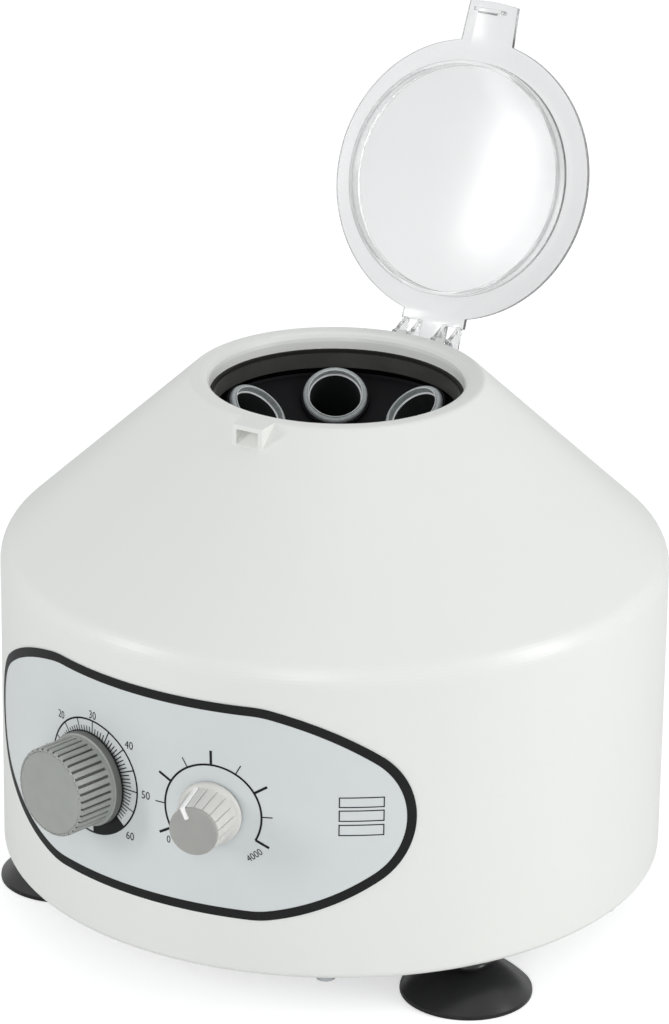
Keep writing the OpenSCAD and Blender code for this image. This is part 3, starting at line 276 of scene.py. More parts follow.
M = {
    "housing": material("housing_plastic", rgb(233, 234, 230), 0.34, 0.006, 9, 0.03, 0.04, 700),
    "panel": material("panel_sheet", rgb(215, 220, 220), 0.3, 0.006, 90, 0.03, 0.04, 1200),
    "print": material("print_black", rgb(24, 24, 25), 0.5, 0.10, 120, 0.05, 0.05, 1600,
                      sockets={"Specular IOR Level": 0.2}),
    "timer": material("timer_grey_plastic", rgb(157, 160, 155), 0.42, 0.04, 160, 0.06, 0.3, 2600),
    # Painted shade: the darker grey in the timer knob's grooves and on its collar by the panel
    "timer_groove": material("timer_groove_painted_shade", rgb(88, 90, 87), 0.6, 0.06, 160, 0.06, 0.2, 2600),
    "timer_collar": material("timer_collar_painted_shade", rgb(100, 102, 99), 0.5, 0.06, 160, 0.06, 0.2, 2600),
    # Painted highlight: a bright ring at the rim of the timer knob's face
    "timer_edge": material("timer_edge_painted_highlight", rgb(206, 208, 204), 0.3, 0.04, 200, 0.06, 0.1, 2600),
    "knob_white": material("knob_white_plastic", rgb(214, 213, 209), 0.36, 0.03, 120, 0.05, 0.12, 2200),
    "knob_grey": material("knob_grey_plastic", rgb(164, 164, 160), 0.45, 0.03, 160, 0.05, 0.2, 2600),
    "pointer": material("pointer_white", rgb(252, 252, 250), 0.3, 0.01, 200, 0.04, 0.04, 1800),
    "rubber": material("foot_rubber", rgb(18, 18, 19), 0.3, 0.12, 90, 0.04, 0.06, 2400,
                       sockets={"Specular IOR Level": 0.5}),
    "bowl": material("bowl_black_paint", rgb(62, 62, 60), 0.42, 0.12, 60, 0.08, 0.12, 1500,
                     sockets={"Specular IOR Level": 0.5}),
    "head": material("head_black_plastic", rgb(25, 25, 27), 0.5, 0.12, 80, 0.08, 0.15, 1800,
                     sockets={"Specular IOR Level": 0.06}),
    "seal": material("seal_rubber", rgb(28, 27, 25), 0.7, 0.1, 90, 0.08, 0.3, 1500,
                     sockets={"Specular IOR Level": 0.2}),
    "sleeve": material("sleeve_plastic", rgb(190, 196, 197), 0.34, 0.12, 900, 0.08, 0.3, 2400,
                       sockets={"Transmission Weight": 0.2}),
    # Painted highlight: a near-white band on the sleeves' mouth edge and on the step in the bore
    "sleeve_lip": material("sleeve_lip_plastic", rgb(246, 249, 249), 0.26, 0.05, 500, 0.06, 0.1, 2400),
    # Painted shade: the dark inside of the sleeves' bores
    "sleeve_bore": material("sleeve_bore_dark", rgb(36, 40, 40), 0.6, 0.15, 200, 0.08, 0.2, 1500),
    "zinc": material("zinc_steel", rgb(186, 189, 192), 0.32, 0.06, 300, 0.08, 0.2, 2600,
                     sockets={"Metallic": 1.0}),
    "shaft": material("ground_steel", rgb(200, 202, 204), 0.18, 0.04, 300, 0.05, 0.1, 3000,
                      stretch=(1, 1, 12), sockets={"Metallic": 1.0}),
    "steel": material("motor_steel", rgb(160, 162, 165), 0.38, 0.06, 200, 0.08, 0.2, 2000,
                      sockets={"Metallic": 1.0}),
    "cast": material("cast_alloy", rgb(176, 178, 180), 0.5, 0.08, 160, 0.1, 0.5, 1200,
                     sockets={"Metallic": 1.0}),
    "core": material("core_sheets", rgb(108, 109, 112), 0.5, 0.10, 120, 0.08, 0.5, 1400,
                     stretch=(0.2, 0.2, 3), sockets={"Metallic": 0.8}),
    "bronze": material("bush_bronze", rgb(178, 140, 88), 0.42, 0.08, 220, 0.08, 0.3, 2200,
                       sockets={"Metallic": 1.0}),
    "copper": material("lacquered_copper", rgb(176, 92, 48), 0.3, 0.12, 260, 0.08, 0.6, 1800,
                       stretch=(0.4, 0.4, 4), sockets={"Metallic": 0.9}),
    "brass": material("plain_brass", rgb(198, 170, 104), 0.3, 0.06, 240, 0.06, 0.2, 2200,
                      sockets={"Metallic": 1.0}),
    "clockwork": material("clockwork_case", rgb(188, 176, 140), 0.38, 0.05, 140, 0.08, 0.2, 1500,
                          sockets={"Metallic": 0.9}),
    "carbon": material("pressed_carbon", rgb(46, 46, 48), 0.6, 0.15, 400, 0.08, 0.5, 2600),
    "board": material("circuit_board", rgb(34, 112, 62), 0.34, 0.15, 500, 0.06, 0.2, 1600),
    "nylon": material("natural_nylon", rgb(220, 218, 204), 0.5, 0.03, 200, 0.06, 0.1, 1600),
    "capacitor": material("capacitor_sleeve", rgb(44, 70, 148), 0.28, 0.06, 200, 0.05, 0.1, 1600),
    "sink": material("sink_alloy", rgb(184, 186, 189), 0.42, 0.05, 220, 0.06, 0.2, 1800,
                     stretch=(1, 1, 0.2), sockets={"Metallic": 1.0}),
    "black": material("black_plastic", rgb(32, 32, 33), 0.4, 0.10, 160, 0.06, 0.3, 2200),
    "terminal": material("terminal_green", rgb(50, 128, 84), 0.42, 0.06, 200, 0.06, 0.15, 1800),
    "base": material("base_paint", rgb(214, 215, 213), 0.42, 0.03, 90, 0.05, 0.3, 1200),
}

# Clear moulded plastic with a slight grey, and its rounded edges, whose darker grey is painted shade
M["lid"] = material("lid_clear_plastic", (0.715, 0.718, 0.718), 0.2, 0.012, 14, 0.03, 0.03, 60,
                    sockets={"Transmission Weight": 1.0, "IOR": 1.49, "Specular IOR Level": 0.42})
M["lid_edge"] = material("lid_edge_painted_shade", (0.36, 0.365, 0.365), 0.25, 0.03, 60, 0.05, 0.05, 300,
                         sockets={"Transmission Weight": 0.7, "IOR": 1.49})

LOOKS = {
    "housing": ["housing_shell"],
    "panel": ["control_panel"],
    "base": ["base_plate"],
    "zinc": ["base_screws", "foot_screws", "foot_nuts", "timer_shaft", "timer_nut", "speed_shaft",
             "speed_nut", "hinge_pins", "bowl_posts", "bowl_screws", "rotor_washer", "motor_screws"],
    "rubber": ["foot_left", "foot_right", "foot_rear", "motor_dampers"],
    "timer": ["timer_knob"], "clockwork": ["timer_case"],
    "knob_white": ["speed_knob"], "knob_grey": ["speed_cap"],
    "black": ["speed_case", "triac", "power_inlet", "fuse_holder", "fuse_cap"],
    "lid": ["lid"], "bowl": ["chamber_bowl", "chamber_cover"], "seal": ["chamber_seal"],
    "head": ["rotor_head", "rotor_disc", "rotor_nut"],
    "steel": ["motor_case"], "cast": ["upper_shield", "lower_shield"],
    "bronze": ["upper_bush", "lower_bush"], "core": ["stator_core", "armature_core"],
    "copper": ["field_coils", "armature_winding", "commutator"], "carbon": ["carbon_brushes"],
    "brass": ["brush_holders", "inlet_pins"], "shaft": ["drive_shaft"],
    "board": ["control_board"], "nylon": ["board_pillars"], "capacitor": ["capacitor"],
    "sink": ["heat_sink"], "terminal": ["terminal_block"],
    "sleeve": ["tube_sleeve_%d" % i for i in range(1, 7)],
}
for look, names in LOOKS.items():
    for name in names:
        mesh = NODES[name].data
        if not mesh.materials:
            mesh.materials.append(M[look])
        for slot_index in range(len(mesh.materials)):
            mesh.materials[slot_index] = M[look]


# ---- building helpers; points are in mm in a local place, and come out in metres

def add_object(name, mesh, mats, body):
    obj = bpy.data.objects.new(name, mesh)
    bpy.context.scene.collection.objects.link(obj)
    for mat in mats:
        mesh.materials.append(mat)
    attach(obj, body)
    return obj


def turning(edge, degrees):
    """Whether the two faces at this edge turn by more than this angle."""
    return len(edge.link_faces) == 2 and edge.calc_face_angle() > math.radians(degrees)


def keep_sharp(work, degrees):
    for edge in work.edges:
        if turning(edge, degrees):
            edge.smooth = False


def finish_mesh(name, points, faces, mats, body, place, which, sharp):
    """Builds a mesh from points in mm. which gives each face's material, and an edge that turns by
    more than sharp degrees isn't smoothed."""
    mesh = bpy.data.meshes.new(name)
    mesh.from_pydata([(place @ Vector(p)) * MM for p in points], [], faces)
    for index, poly in enumerate(mesh.polygons):
        poly.use_smooth = True
        poly.material_index = which[index]
    work = bmesh.new()
    work.from_mesh(mesh)
    bmesh.ops.remove_doubles(work, verts=work.verts, dist=MERGE * MM)
    bmesh.ops.recalc_face_normals(work, faces=work.faces)
    keep_sharp(work, sharp)
    work.to_mesh(mesh)
    work.free()
    return add_object(name, mesh, mats, body)


def wall_place(az, z):
    """A place on the wall: Z points out of it and Y points up."""
    a = math.radians(az)
    out = Vector((math.sin(a), -math.cos(a), 0))
    side = Vector((math.cos(a), math.sin(a), 0))
    up = Vector((0, 0, 1))
    turn = Matrix((side, up, out)).transposed().to_4x4()
    return Matrix.Translation(out * HOUSING_R + Vector((0, 0, z + FOOT_H))) @ turn


def mouth_place(index):
    """A place at a sleeve's mouth: Z points out of the sleeve along its axis."""
    spin = Matrix.Rotation(math.radians(HEAD_TURN + 60 * index), 4, "Z")
    move = Matrix.Translation((0, -MOUTH_RING_R, MOUTH_RING_Z + FOOT_H))
    return spin @ move @ Matrix.Rotation(math.radians(-TILT), 4, "X")


def arc_points(cx, cy, r, a0, a1, steps):
    return [(cx + r * math.cos(math.radians(a0 + (a1 - a0) * i / steps)),
             cy + r * math.sin(math.radians(a0 + (a1 - a0) * i / steps))) for i in range(steps + 1)]


def turned_faces(profile, around):
    """Each face between the rings of a turned profile, with its step and its place in the ring."""
    for i in range(len(profile) - 1):
        for k in range(around):
            nxt = (k + 1) % around
            quad = [i * around + k, i * around + nxt, (i + 1) * around + nxt, (i + 1) * around + k]
            if profile[i][0] == 0:
                quad = [quad[0], quad[2], quad[3]]
            elif profile[i + 1][0] == 0:
                quad = [quad[0], quad[1], quad[2]]
            yield i, k, quad


def lathe(name, profile, mats, body, place, around=AROUND, bands=None):
    """Turns a profile of (radius, height) about the local Z axis; bands gives each step's material."""
    points, faces, which = [], [], []
    for r, h in profile:
        for k in range(around):
            a = 2 * math.pi * k / around
            points.append((r * math.cos(a), r * math.sin(a), h))
    for i, k, face in turned_faces(profile, around):
        faces.append(face)
        which.append(bands[i] if bands else 0)
    return finish_mesh(name, points, faces, mats, body, place, which, TURNED_SHARP_ANGLE)


def ribbed(name, profile, count, depth, width, mats, body, place, samples, collar_top=0.0):
    """As lathe, with grooves cut all round; a step is (radius, height, share of the groove's depth).
    mats are those of the body, the painted shade in the grooves and the painted shade on the collar, whose
    steps end at collar_top."""
    around = count * samples
    points, faces, which = [], [], []
    for r, h, share in profile:
        for k in range(around):
            a = 2 * math.pi * k / around
            phase = abs((k % samples) / samples - 0.5) * 2
            groove = min(1.0, max(0.0, 1 - phase / width) * GROOVE_STEEPNESS)
            rr = r - depth * share * groove
            points.append((rr * math.cos(a), rr * math.sin(a), h))
    for i, k, face in turned_faces(profile, around):
        faces.append(face)
        middle = abs((k % samples + 0.5) / samples - 0.5) * 2
        share = min(profile[i][2], profile[i + 1][2])
        # The middle of a deep groove gets painted shade, and the collar's steps below collar_top get painted
        # shade as well
        in_shaded_groove = middle < width * GROOVE_SHADE_SHARE and share > GROOVE_DEEP_SHARE
        which.append(1 if in_shaded_groove and len(mats) > 1 else 0)
        if len(mats) > 2 and profile[i + 1][1] <= collar_top:
            which[-1] = 2
    return finish_mesh(name, points, faces, mats, body, place, which, RIBBED_SHARP_ANGLE)


def on_sheet(s, z, lift):
    """A point of the printed sheet: s is the length along the wall from the front line."""
    a = s / PRINT_R
    r = PRINT_R + lift
    return (r * math.sin(a), -r * math.cos(a), z + FOOT_H)


def printed(name, flat_points, faces, lift=PRINT_LIFT):
    """Lays a flat black print on the sheet."""
    points = [on_sheet(s, z, lift) for s, z in flat_points]
    mesh = bpy.data.meshes.new(name)
    mesh.from_pydata([Vector(p) * MM for p in points], [], faces)
    obj = add_object(name, mesh, [M["print"]], "housing")


def band(inner, outer, closed=False):
    """Points and faces between two lines with the same number of points."""
    points = list(inner) + list(outer)
    n = len(inner)
    last = n if closed else n - 1
    faces = [[i, (i + 1) % n, n + (i + 1) % n, n + i] for i in range(last)]
    return points, faces


def ring_arc(cx, cz, r0, r1, a0, a1):
    """Part of a flat ring; angles are clockwise from the top."""
    steps = max(4, int(abs(a1 - a0) / 2))
    angles = [math.radians(a0 + (a1 - a0) * i / steps) for i in range(steps + 1)]
    inner = [(cx + r0 * math.sin(a), cz + r0 * math.cos(a)) for a in angles]
    outer = [(cx + r1 * math.sin(a), cz + r1 * math.cos(a)) for a in angles]
    return band(inner, outer)


def tick(cx, cz, r0, r1, angle, width):
    """A straight line outward from the middle of a scale."""
    a = math.radians(angle)
    along, across = (math.sin(a), math.cos(a)), (math.cos(a), -math.sin(a))
    steps = 4
    left, right = [], []
    for i in range(steps + 1):
        r = r0 + (r1 - r0) * i / steps
        left.append((cx + along[0] * r - across[0] * width / 2, cz + along[1] * r - across[1] * width / 2))
        right.append((cx + along[0] * r + across[0] * width / 2, cz + along[1] * r + across[1] * width / 2))
    return band(left, right)


def merge(parts):
    points, faces = [], []
    for part_points, part_faces in parts:
        start = len(points)
        points += part_points
        faces += [[start + i for i in face] for face in part_faces]
    return points, faces


def number(name, text, s, z, height, turn):
    """A dial number, laid on the sheet; its middle is at s, z."""
    curve = bpy.data.curves.new(name + "_font", "FONT")
    curve.body = text
    curve.size = 1.0
    curve.align_x = "CENTER"
    curve.align_y = "CENTER"
    curve.resolution_u = 3
    holder = bpy.data.objects.new(name + "_font", curve)
    bpy.context.scene.collection.objects.link(holder)
    shape = holder.evaluated_get(bpy.context.evaluated_depsgraph_get())
    mesh = bpy.data.meshes.new_from_object(shape)
    size = height / CAPITAL_SHARE
    c, d = math.cos(math.radians(turn)), math.sin(math.radians(turn))
    low = min(v.co.y for v in mesh.vertices)
    high = max(v.co.y for v in mesh.vertices)
    mid_x = (min(v.co.x for v in mesh.vertices) + max(v.co.x for v in mesh.vertices)) / 2
    flat = []
    for v in mesh.vertices:
        x, y = (v.co.x - mid_x) * size * NUMBER_NARROWING, (v.co.y - (low + high) / 2) * size
        flat.append((s + x * c - y * d, z + x * d + y * c))
    faces = [list(p.vertices) for p in mesh.polygons]
    bpy.data.objects.remove(holder)
    printed(name, flat, faces, NUMBER_LIFT)


# ---- printed control panel

def panel_outline(inset):
    """The sheet's outline, drawn from arcs, from its right end over its top."""
    side_from, side_to = math.radians(PANEL_SIDE_FROM), math.radians(PANEL_SIDE_TO)
    rise_from, run_from = math.sin(side_from), math.cos(side_from)
    rise_to, run_to = math.sin(side_to), math.cos(side_to)
    inner = PANEL_SIDE_R - PANEL_SHOULDER_R
    end_r = PANEL_SIDE_R + (PANEL_HALF_H - PANEL_SHOULDER_R - inner * rise_to) / rise_from
    end_x = PANEL_HALF_L - end_r
    side_x, side_z = end_x + (end_r - PANEL_SIDE_R) * run_from, (end_r - PANEL_SIDE_R) * rise_from
    end_steps, side_steps, shoulder_steps, flat_steps = PANEL_STEPS
    quarter = arc_points(end_x, 0, end_r - inset, 0, PANEL_SIDE_FROM, end_steps)
    quarter += arc_points(side_x, side_z, PANEL_SIDE_R - inset, PANEL_SIDE_FROM, PANEL_SIDE_TO,
                          side_steps)[1:]
    quarter += arc_points(side_x + inner * run_to, PANEL_HALF_H - PANEL_SHOULDER_R, PANEL_SHOULDER_R - inset,
                          PANEL_SIDE_TO, 90, shoulder_steps)[1:]
    flat = quarter[-1]
    quarter += [(flat[0] * (1 - i / flat_steps), flat[1]) for i in range(1, flat_steps + 1)]
    half = quarter + [(-x, z) for x, z in reversed(quarter[:-1])]
    whole = half + [(x, -z) for x, z in reversed(half[1:-1])]
    middle = math.radians(PANEL_AZ) * HOUSING_R
    return [(x * PRINT_R / HOUSING_R + middle, z + PANEL_Z) for x, z in whole]


def timer_scale():
    parts = [ring_arc(*TIMER_SCALE, TIMER_RING_R - TIMER_RING_HALF_W, TIMER_RING_R + TIMER_RING_HALF_W,
                      0, 360)]
    for minute in range(61):
        angle = ZERO_ANGLE + minute * MINUTE
        if minute % 5 == 0:
            parts.append(tick(*TIMER_SCALE, TIMER_TICK_R, TIMER_RING_R, angle, TIMER_TICK_W))
        else:
            parts.append(tick(*TIMER_SCALE, TIMER_TICK_R, TIMER_SHORT_TICK_R, angle, TIMER_SHORT_TICK_W))
    last_angle = ZERO_ANGLE + 60 * MINUTE
    parts.append(ring_arc(*TIMER_SCALE, TIMER_SECTOR_R, TIMER_RING_R, last_angle, TIMER_NOTCH[0]))
    parts.append(ring_arc(*TIMER_SCALE, TIMER_SECTOR_R, TIMER_RING_R, TIMER_NOTCH[1], ZERO_ANGLE + 360))
    printed("timer_scale", *merge(parts))
    for value, r in TIMER_NUMBER_R.items():
        a = math.radians(ZERO_ANGLE + value * MINUTE)
        number("timer_number_%d" % value, str(value), TIMER_SCALE[0] + r * math.sin(a),
               TIMER_SCALE[1] + r * math.cos(a), TIMER_NUMBER_H, 0.0)


def speed_scale():
    parts = [ring_arc(*SPEED_SCALE, SPEED_ARC_R - SPEED_ARC_HALF_W, SPEED_ARC_R + SPEED_ARC_HALF_W,
                      SPEED_ARC_FROM, SPEED_ARC_TO)]
    for index in range(SPEED_TICK_COUNT):
        end_r, width = SPEED_THIN_TICK if index % 2 else SPEED_BOLD_TICK
        angle = SPEED_TICK_FROM + index * SPEED_TICK_STEP
        parts.append(tick(*SPEED_SCALE, SPEED_ARC_R, end_r, angle, width))
    printed("speed_scale", *merge(parts))
    for label, (s, z), height, turn in SPEED_NUMBERS:
        number("speed_number_" + label, label, s, z, height, turn)


def panel_frames():
    """Three empty frames at the right end of the panel."""
    left, right, line, steps = FRAME_LEFT, FRAME_RIGHT, FRAME_LINE, 8
    parts = []
    for low, high in FRAME_HEIGHTS:
        for x0, x1, z0, z1 in ((left, right, low, low + line), (left, right, high - line, high),
                               (left, left + line, low, high), (right - line, right, low, high)):
            lower = [(x0 + (x1 - x0) * i / steps, z0) for i in range(steps + 1)]
            upper = [(x0 + (x1 - x0) * i / steps, z1) for i in range(steps + 1)]
            parts.append(band(lower, upper))
    printed("panel_frames", *merge(parts))


printed("panel_border", *band(panel_outline(BORDER_W), panel_outline(BORDER_GAP), True))
timer_scale()
speed_scale()
panel_frames()


# ---- timer knob

def timer_knob():
    face_r, base_r, start = TIMER_FACE_R, TIMER_BASE_R, PANEL_T + KNOB_GAP
    top = start + TIMER_L
    place = wall_place(TIMER_AZ, TIMER_Z)
    collar = [(TIMER_BORE_R, 3.2), (TIMER_BORE_R, 0), (base_r - 0.4, 0), (base_r, 0.4), (base_r, 2.6),
              (base_r - 0.25, 3.0), (base_r - 1.0, 3.3), (base_r - 1.05, 4.4), (base_r - 1.08, 4.7)]
    profile = [(r, start + h, 0) for r, h in collar]
    low_r, low, high = base_r - 1.1, start + 4.75, top - 1.0
    steps = 12
    for i in range(steps + 1):
        t = i / steps
        profile.append((low_r + (face_r + 0.15 - low_r) * t, low + (high - low) * t,
                        min(1.0, 0.75 + 3 * t)))
    profile += [(face_r - 0.05, top - 0.55, 0.9), (face_r - 0.5, top - 0.12, 0.5), (face_r - 0.75, top, 0.1),
                (face_r - 1.3, top, 0), (face_r - 1.5, top - 0.06, 0), (face_r - 4, top - 0.06, 0),
                (8, top - 0.06, 0), (0, top - 0.06, 0)]
    # Painted shade darkens the grooves and the collar
    body = ribbed("timer_knob_body", profile, TIMER_GROOVES, TIMER_GROOVE_DEPTH, TIMER_GROOVE_WIDTH,
                  [M["timer"], M["timer_groove"], M["timer_collar"]], "timer_dial", place,
                  TIMER_GROOVE_STEPS, start + 3.05)
    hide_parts("timer_knob")
    shadow = [(TIMER_BORE_R, start - 0.05), (TIMER_SHADOW_R, start - 0.05), (TIMER_SHADOW_R, start + 0.3),
              (TIMER_BORE_R, start + 0.3), (TIMER_BORE_R, start - 0.05)]
    ring = lathe("timer_knob_shadow_ring", shadow, [M["print"]], "timer_dial", place)
    # A thin bright ring at the rim of the face, a painted highlight
    highlight_ring = [(face_r - 1.35, top - 0.1), (face_r - 1.3, top), (face_r - 0.85, top),
            (face_r - 0.68, top - 0.12), (face_r - 0.75, top - 0.3), (face_r - 1.35, top - 0.3),
            (face_r - 1.35, top - 0.1)]
    edge = lathe("timer_knob_edge_highlight", highlight_ring, [M["timer_edge"]], "timer_dial", place)


timer_knob()


# ---- speed knob with its white pointer

def speed_knob():
    start = PANEL_T + KNOB_GAP
    top = start + SPEED_L
    flange_r, foot_r, face_r = SPEED_FLANGE_R, SPEED_FOOT_R, SPEED_FACE_R
    place = wall_place(SPEED_AZ, SPEED_Z)
    flange = [(SPEED_BORE_R, 2.8), (SPEED_BORE_R, 0), (flange_r - 0.3, 0), (flange_r, 0.35),
              (flange_r - 0.05, 1.3), (flange_r - 0.35, 1.9), (flange_r - 0.9, 2.15), (foot_r + 0.35, 2.3),
              (foot_r + 0.05, 2.6)]
    profile = [(r, start + h, 0) for r, h in flange]
    low, high = start + 3.2, top - SPEED_CAP_T - 0.1
    steps = 8
    for i in range(steps + 1):
        t = i / steps
        profile.append((foot_r + (face_r - foot_r) * t, low + (high - low) * t, min(1.0, 0.6 + 4 * t)))
    profile += [(face_r - 0.2, top - SPEED_CAP_T, 0.6), (0, top - SPEED_CAP_T, 0)]
    body = ribbed("speed_knob_skirt", profile, SPEED_GROOVES, SPEED_GROOVE_DEPTH, SPEED_GROOVE_WIDTH,
                  [M["knob_white"]], "speed_dial", place, SPEED_GROOVE_STEPS)
    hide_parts("speed_knob")
    face = [(0, top - SPEED_CAP_T), (face_r - 0.35, top - SPEED_CAP_T), (face_r - 0.28, top - 0.5),
            (face_r - 0.42, top - 0.12), (face_r - 0.75, top), (face_r - 3, top), (0, top)]
    cap = lathe("speed_knob_cap", face, [M["knob_grey"]], "speed_dial", place)
    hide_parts("speed_cap")
    speed_pointer(start, top, place @ Matrix.Rotation(math.radians(POINTER_TURN), 4, "Z"))


def speed_pointer(start, top, place):
    """A thin bar that runs from the knob's face over its edge and down the skirt."""
    face_r, foot_r = SPEED_FACE_R, SPEED_FOOT_R
    path = [(5.3, top + 0.02), (face_r - 0.9, top + 0.02), (face_r - 0.1, top - 0.15),
            (face_r + 0.12, top - 0.8), (foot_r + 0.05, start + 3.6), (foot_r + 0.45, start + 2.5)]
    points, faces = [], []
    for index, (r, h) in enumerate(path):
        before, after = path[max(index - 1, 0)], path[min(index + 1, len(path) - 1)]
        run, rise = after[0] - before[0], after[1] - before[1]
        size = math.hypot(run, rise)
        out = (-rise / size, run / size)
        if out[1] < 0 or (abs(out[1]) < 1e-6 and out[0] < 0):
            out = (-out[0], -out[1])
        for side in (-POINTER_HALF_W, POINTER_HALF_W):
            points.append((side, r - out[0] * POINTER_SUNK, h - out[1] * POINTER_SUNK))
        for side in (POINTER_HALF_W * 0.85, -POINTER_HALF_W * 0.85):
            points.append((side, r + out[0] * POINTER_T, h + out[1] * POINTER_T))
    for i in range(len(path) - 1):
        for k in range(4):
            nxt = (k + 1) % 4
            faces.append([i * 4 + k, i * 4 + nxt, (i + 1) * 4 + nxt, (i + 1) * 4 + k])
    faces.append([0, 1, 2, 3])
    last = (len(path) - 1) * 4
    faces.append([last + 3, last + 2, last + 1, last])
    mark = finish_mesh("speed_knob_pointer", points, faces, [M["pointer"]], "speed_dial", place,
                       [0] * len(faces), POINTER_SHARP_ANGLE)


speed_knob()


# ---- rubber feet

def rubber_foot(name, az):
    """A foot with a flat flare: its profile lies between a straight line and an ellipse."""
    spin = Matrix.Rotation(math.radians(az), 4, "Z")
    place = spin @ Matrix.Translation((0, -FOOT_PLACE_R, 0))
    profile = [(FOOT_BORE_R, 6.0), (FOOT_BORE_R, 3.2), (19.5, 3.0), (22.0, 0.35), (22.6, 0.0), (24.9, 0.0),
               (25.35, 0.3), (25.45, 0.9), (FOOT_FLARE_R, FOOT_FLARE_Z)]
    width, height = FOOT_FLARE_R - FOOT_CROWN_R, FOOT_BELL_Z - FOOT_FLARE_Z
    limit = math.degrees(math.acos((FOOT_NECK_R + 0.5 - FOOT_CROWN_R) / width))
    steps = 18
    for i in range(1, steps + 1):
        a = math.radians(limit * i / steps)
        r, h = FOOT_CROWN_R + width * math.cos(a), FOOT_FLARE_Z + height * math.sin(a)
        straight = FOOT_FLARE_R + (FOOT_NECK_R - FOOT_FLARE_R) * (h - FOOT_FLARE_Z) / height
        profile.append((straight + (r - straight) * FOOT_BEND, h))
    profile += [(FOOT_NECK_R, 13.5), (8.6, 14.2), (8.5, 15.5), (8.5, 21.6), (8.2, 22.2), (7.6, 22.45),
                (FOOT_BORE_R, 22.45), (FOOT_BORE_R, 6.0)]
    obj = lathe(name + "_rubber", profile, [M["rubber"]], "housing", place, AROUND_LARGE)
    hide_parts(name)


for name, az in FOOT_AZ.items():
    rubber_foot(name, az)


# ---- tube sleeves

def tube_sleeve(index):
    """A sleeve. Its profile goes from the bore over the mouth, down the outside and back inside."""
    rim, bore, wall, tip = SLEEVE_RIM_R, SLEEVE_BORE_R, SLEEVE_WALL_R, SLEEVE_TIP_R
    tip_z = -SLEEVE_L + tip
    inner_tip_z = tip_z + SLEEVE_FLOOR_T
    tip_angles = [math.radians(a) for a in (0, 15, 30, 45, 60, 75, 90)]
    rim_angles = [math.radians(a) for a in (0, 20, 40, 60, 80, 90)]
    profile = [(bore, inner_tip_z), (bore, -40.0), (bore, -3.3), (bore, -3.0), (bore + 0.45, -2.5),
               (bore + 0.47, -1.0), (bore + 0.5, -0.3), (bore + 0.6, 0.0), (bore + 0.8, 0.0),
               (bore + 0.9, -0.35), (bore + 1.0, -0.5), (rim - 1.5, -0.45)]
    profile += [(rim - 1.1 + 1.1 * math.sin(a), -1.5 + 1.05 * math.cos(a)) for a in rim_angles]
    profile += [(rim, -2.3), (rim - 0.25, -2.5), (wall + 0.2, -2.5), (wall, -2.7), (wall, tip_z)]
    profile += [(wall - tip + tip * math.cos(a), tip_z - tip * math.sin(a)) for a in tip_angles[1:]]
    profile += [(0, -SLEEVE_L), (0, -SLEEVE_L + SLEEVE_FLOOR_T)]
    profile += [(bore - tip + tip * math.sin(a), inner_tip_z - tip * math.cos(a)) for a in tip_angles]
    # dark is painted shade down the bore and in its bottom
    plain, dark, lip = 0, 1, 2
    # lip is a painted highlight on the step in the bore and on the mouth's top edge
    mouth_bands = [dark, dark, dark, lip, plain, plain, plain, lip]
    bottom_bands = [dark] * len(tip_angles)
    middle = len(profile) - 1 - len(mouth_bands) - len(bottom_bands)
    bands = mouth_bands + [plain] * middle + bottom_bands
    name = "tube_sleeve_%d" % (index + 1)
    obj = lathe(name + "_body", profile, [M["sleeve"], M["sleeve_bore"], M["sleeve_lip"]],
                "sleeve_%d" % (index + 1), mouth_place(index), AROUND, bands)
    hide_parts(name)


for sleeve_index in range(6):
    tube_sleeve(sleeve_index)


# ---- housing with the full rounding at its mouth and the high window in its catch

def housing_piece():
    """A copy of the node. Its small rounding at the mouth is spread to the real one's size, and the
    outer corners of the catch's slot move to the window's height."""
    source = NODES["housing_shell"]
    mesh = source.data.copy()
    mesh.name = "housing_body"
    old_r, old_z = MOUTH_R + CAD_MOUTH_ROUND, RIM_Z + FOOT_H - CAD_MOUTH_ROUND
    new_r, new_z = MOUTH_R + MOUTH_ROUND, RIM_Z + FOOT_H - MOUTH_ROUND
    grow = MOUTH_ROUND / CAD_MOUTH_ROUND
    slack = VERTEX_SLACK
    for vertex in mesh.vertices:
        x, y, z = (c / MM for c in vertex.co)
        r = math.hypot(x, y)
        if r < old_r + slack and z > old_z - slack:
            wanted = new_r + (r - old_r) * grow
            vertex.co = Vector((x * wanted / r, y * wanted / r, new_z + (z - old_z) * grow)) * MM
        if abs(y + CATCH_FRONT) < slack and abs(abs(x) - SLOT_HALF_W) < slack:
            for cad_z, window_z in SLOT_HEIGHTS.items():
                if abs(z - cad_z - FOOT_H) < slack:
                    vertex.co.z = (window_z + FOOT_H) * MM
    obj = add_object("housing_body", mesh, [], "housing")
    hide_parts("housing_shell")


housing_piece()


# ---- neck of the chamber below the collar

def chamber_neck():
    low, high = NECK_LOW_Z + FOOT_H, NECK_TOP_Z + FOOT_H
    outer, inner = NECK_R, NECK_R - NECK_T
    profile = [(outer, high), (outer, low + 0.3), (outer - 0.2, low), (outer - 0.4, low), (inner, low + 0.2),
               (inner, high), (outer, high)]
    ring = lathe("chamber_neck", profile, [M["bowl"]], "housing", Matrix.Identity(4), AROUND_LARGE)


chamber_neck()


# ---- lid with small rounded edges

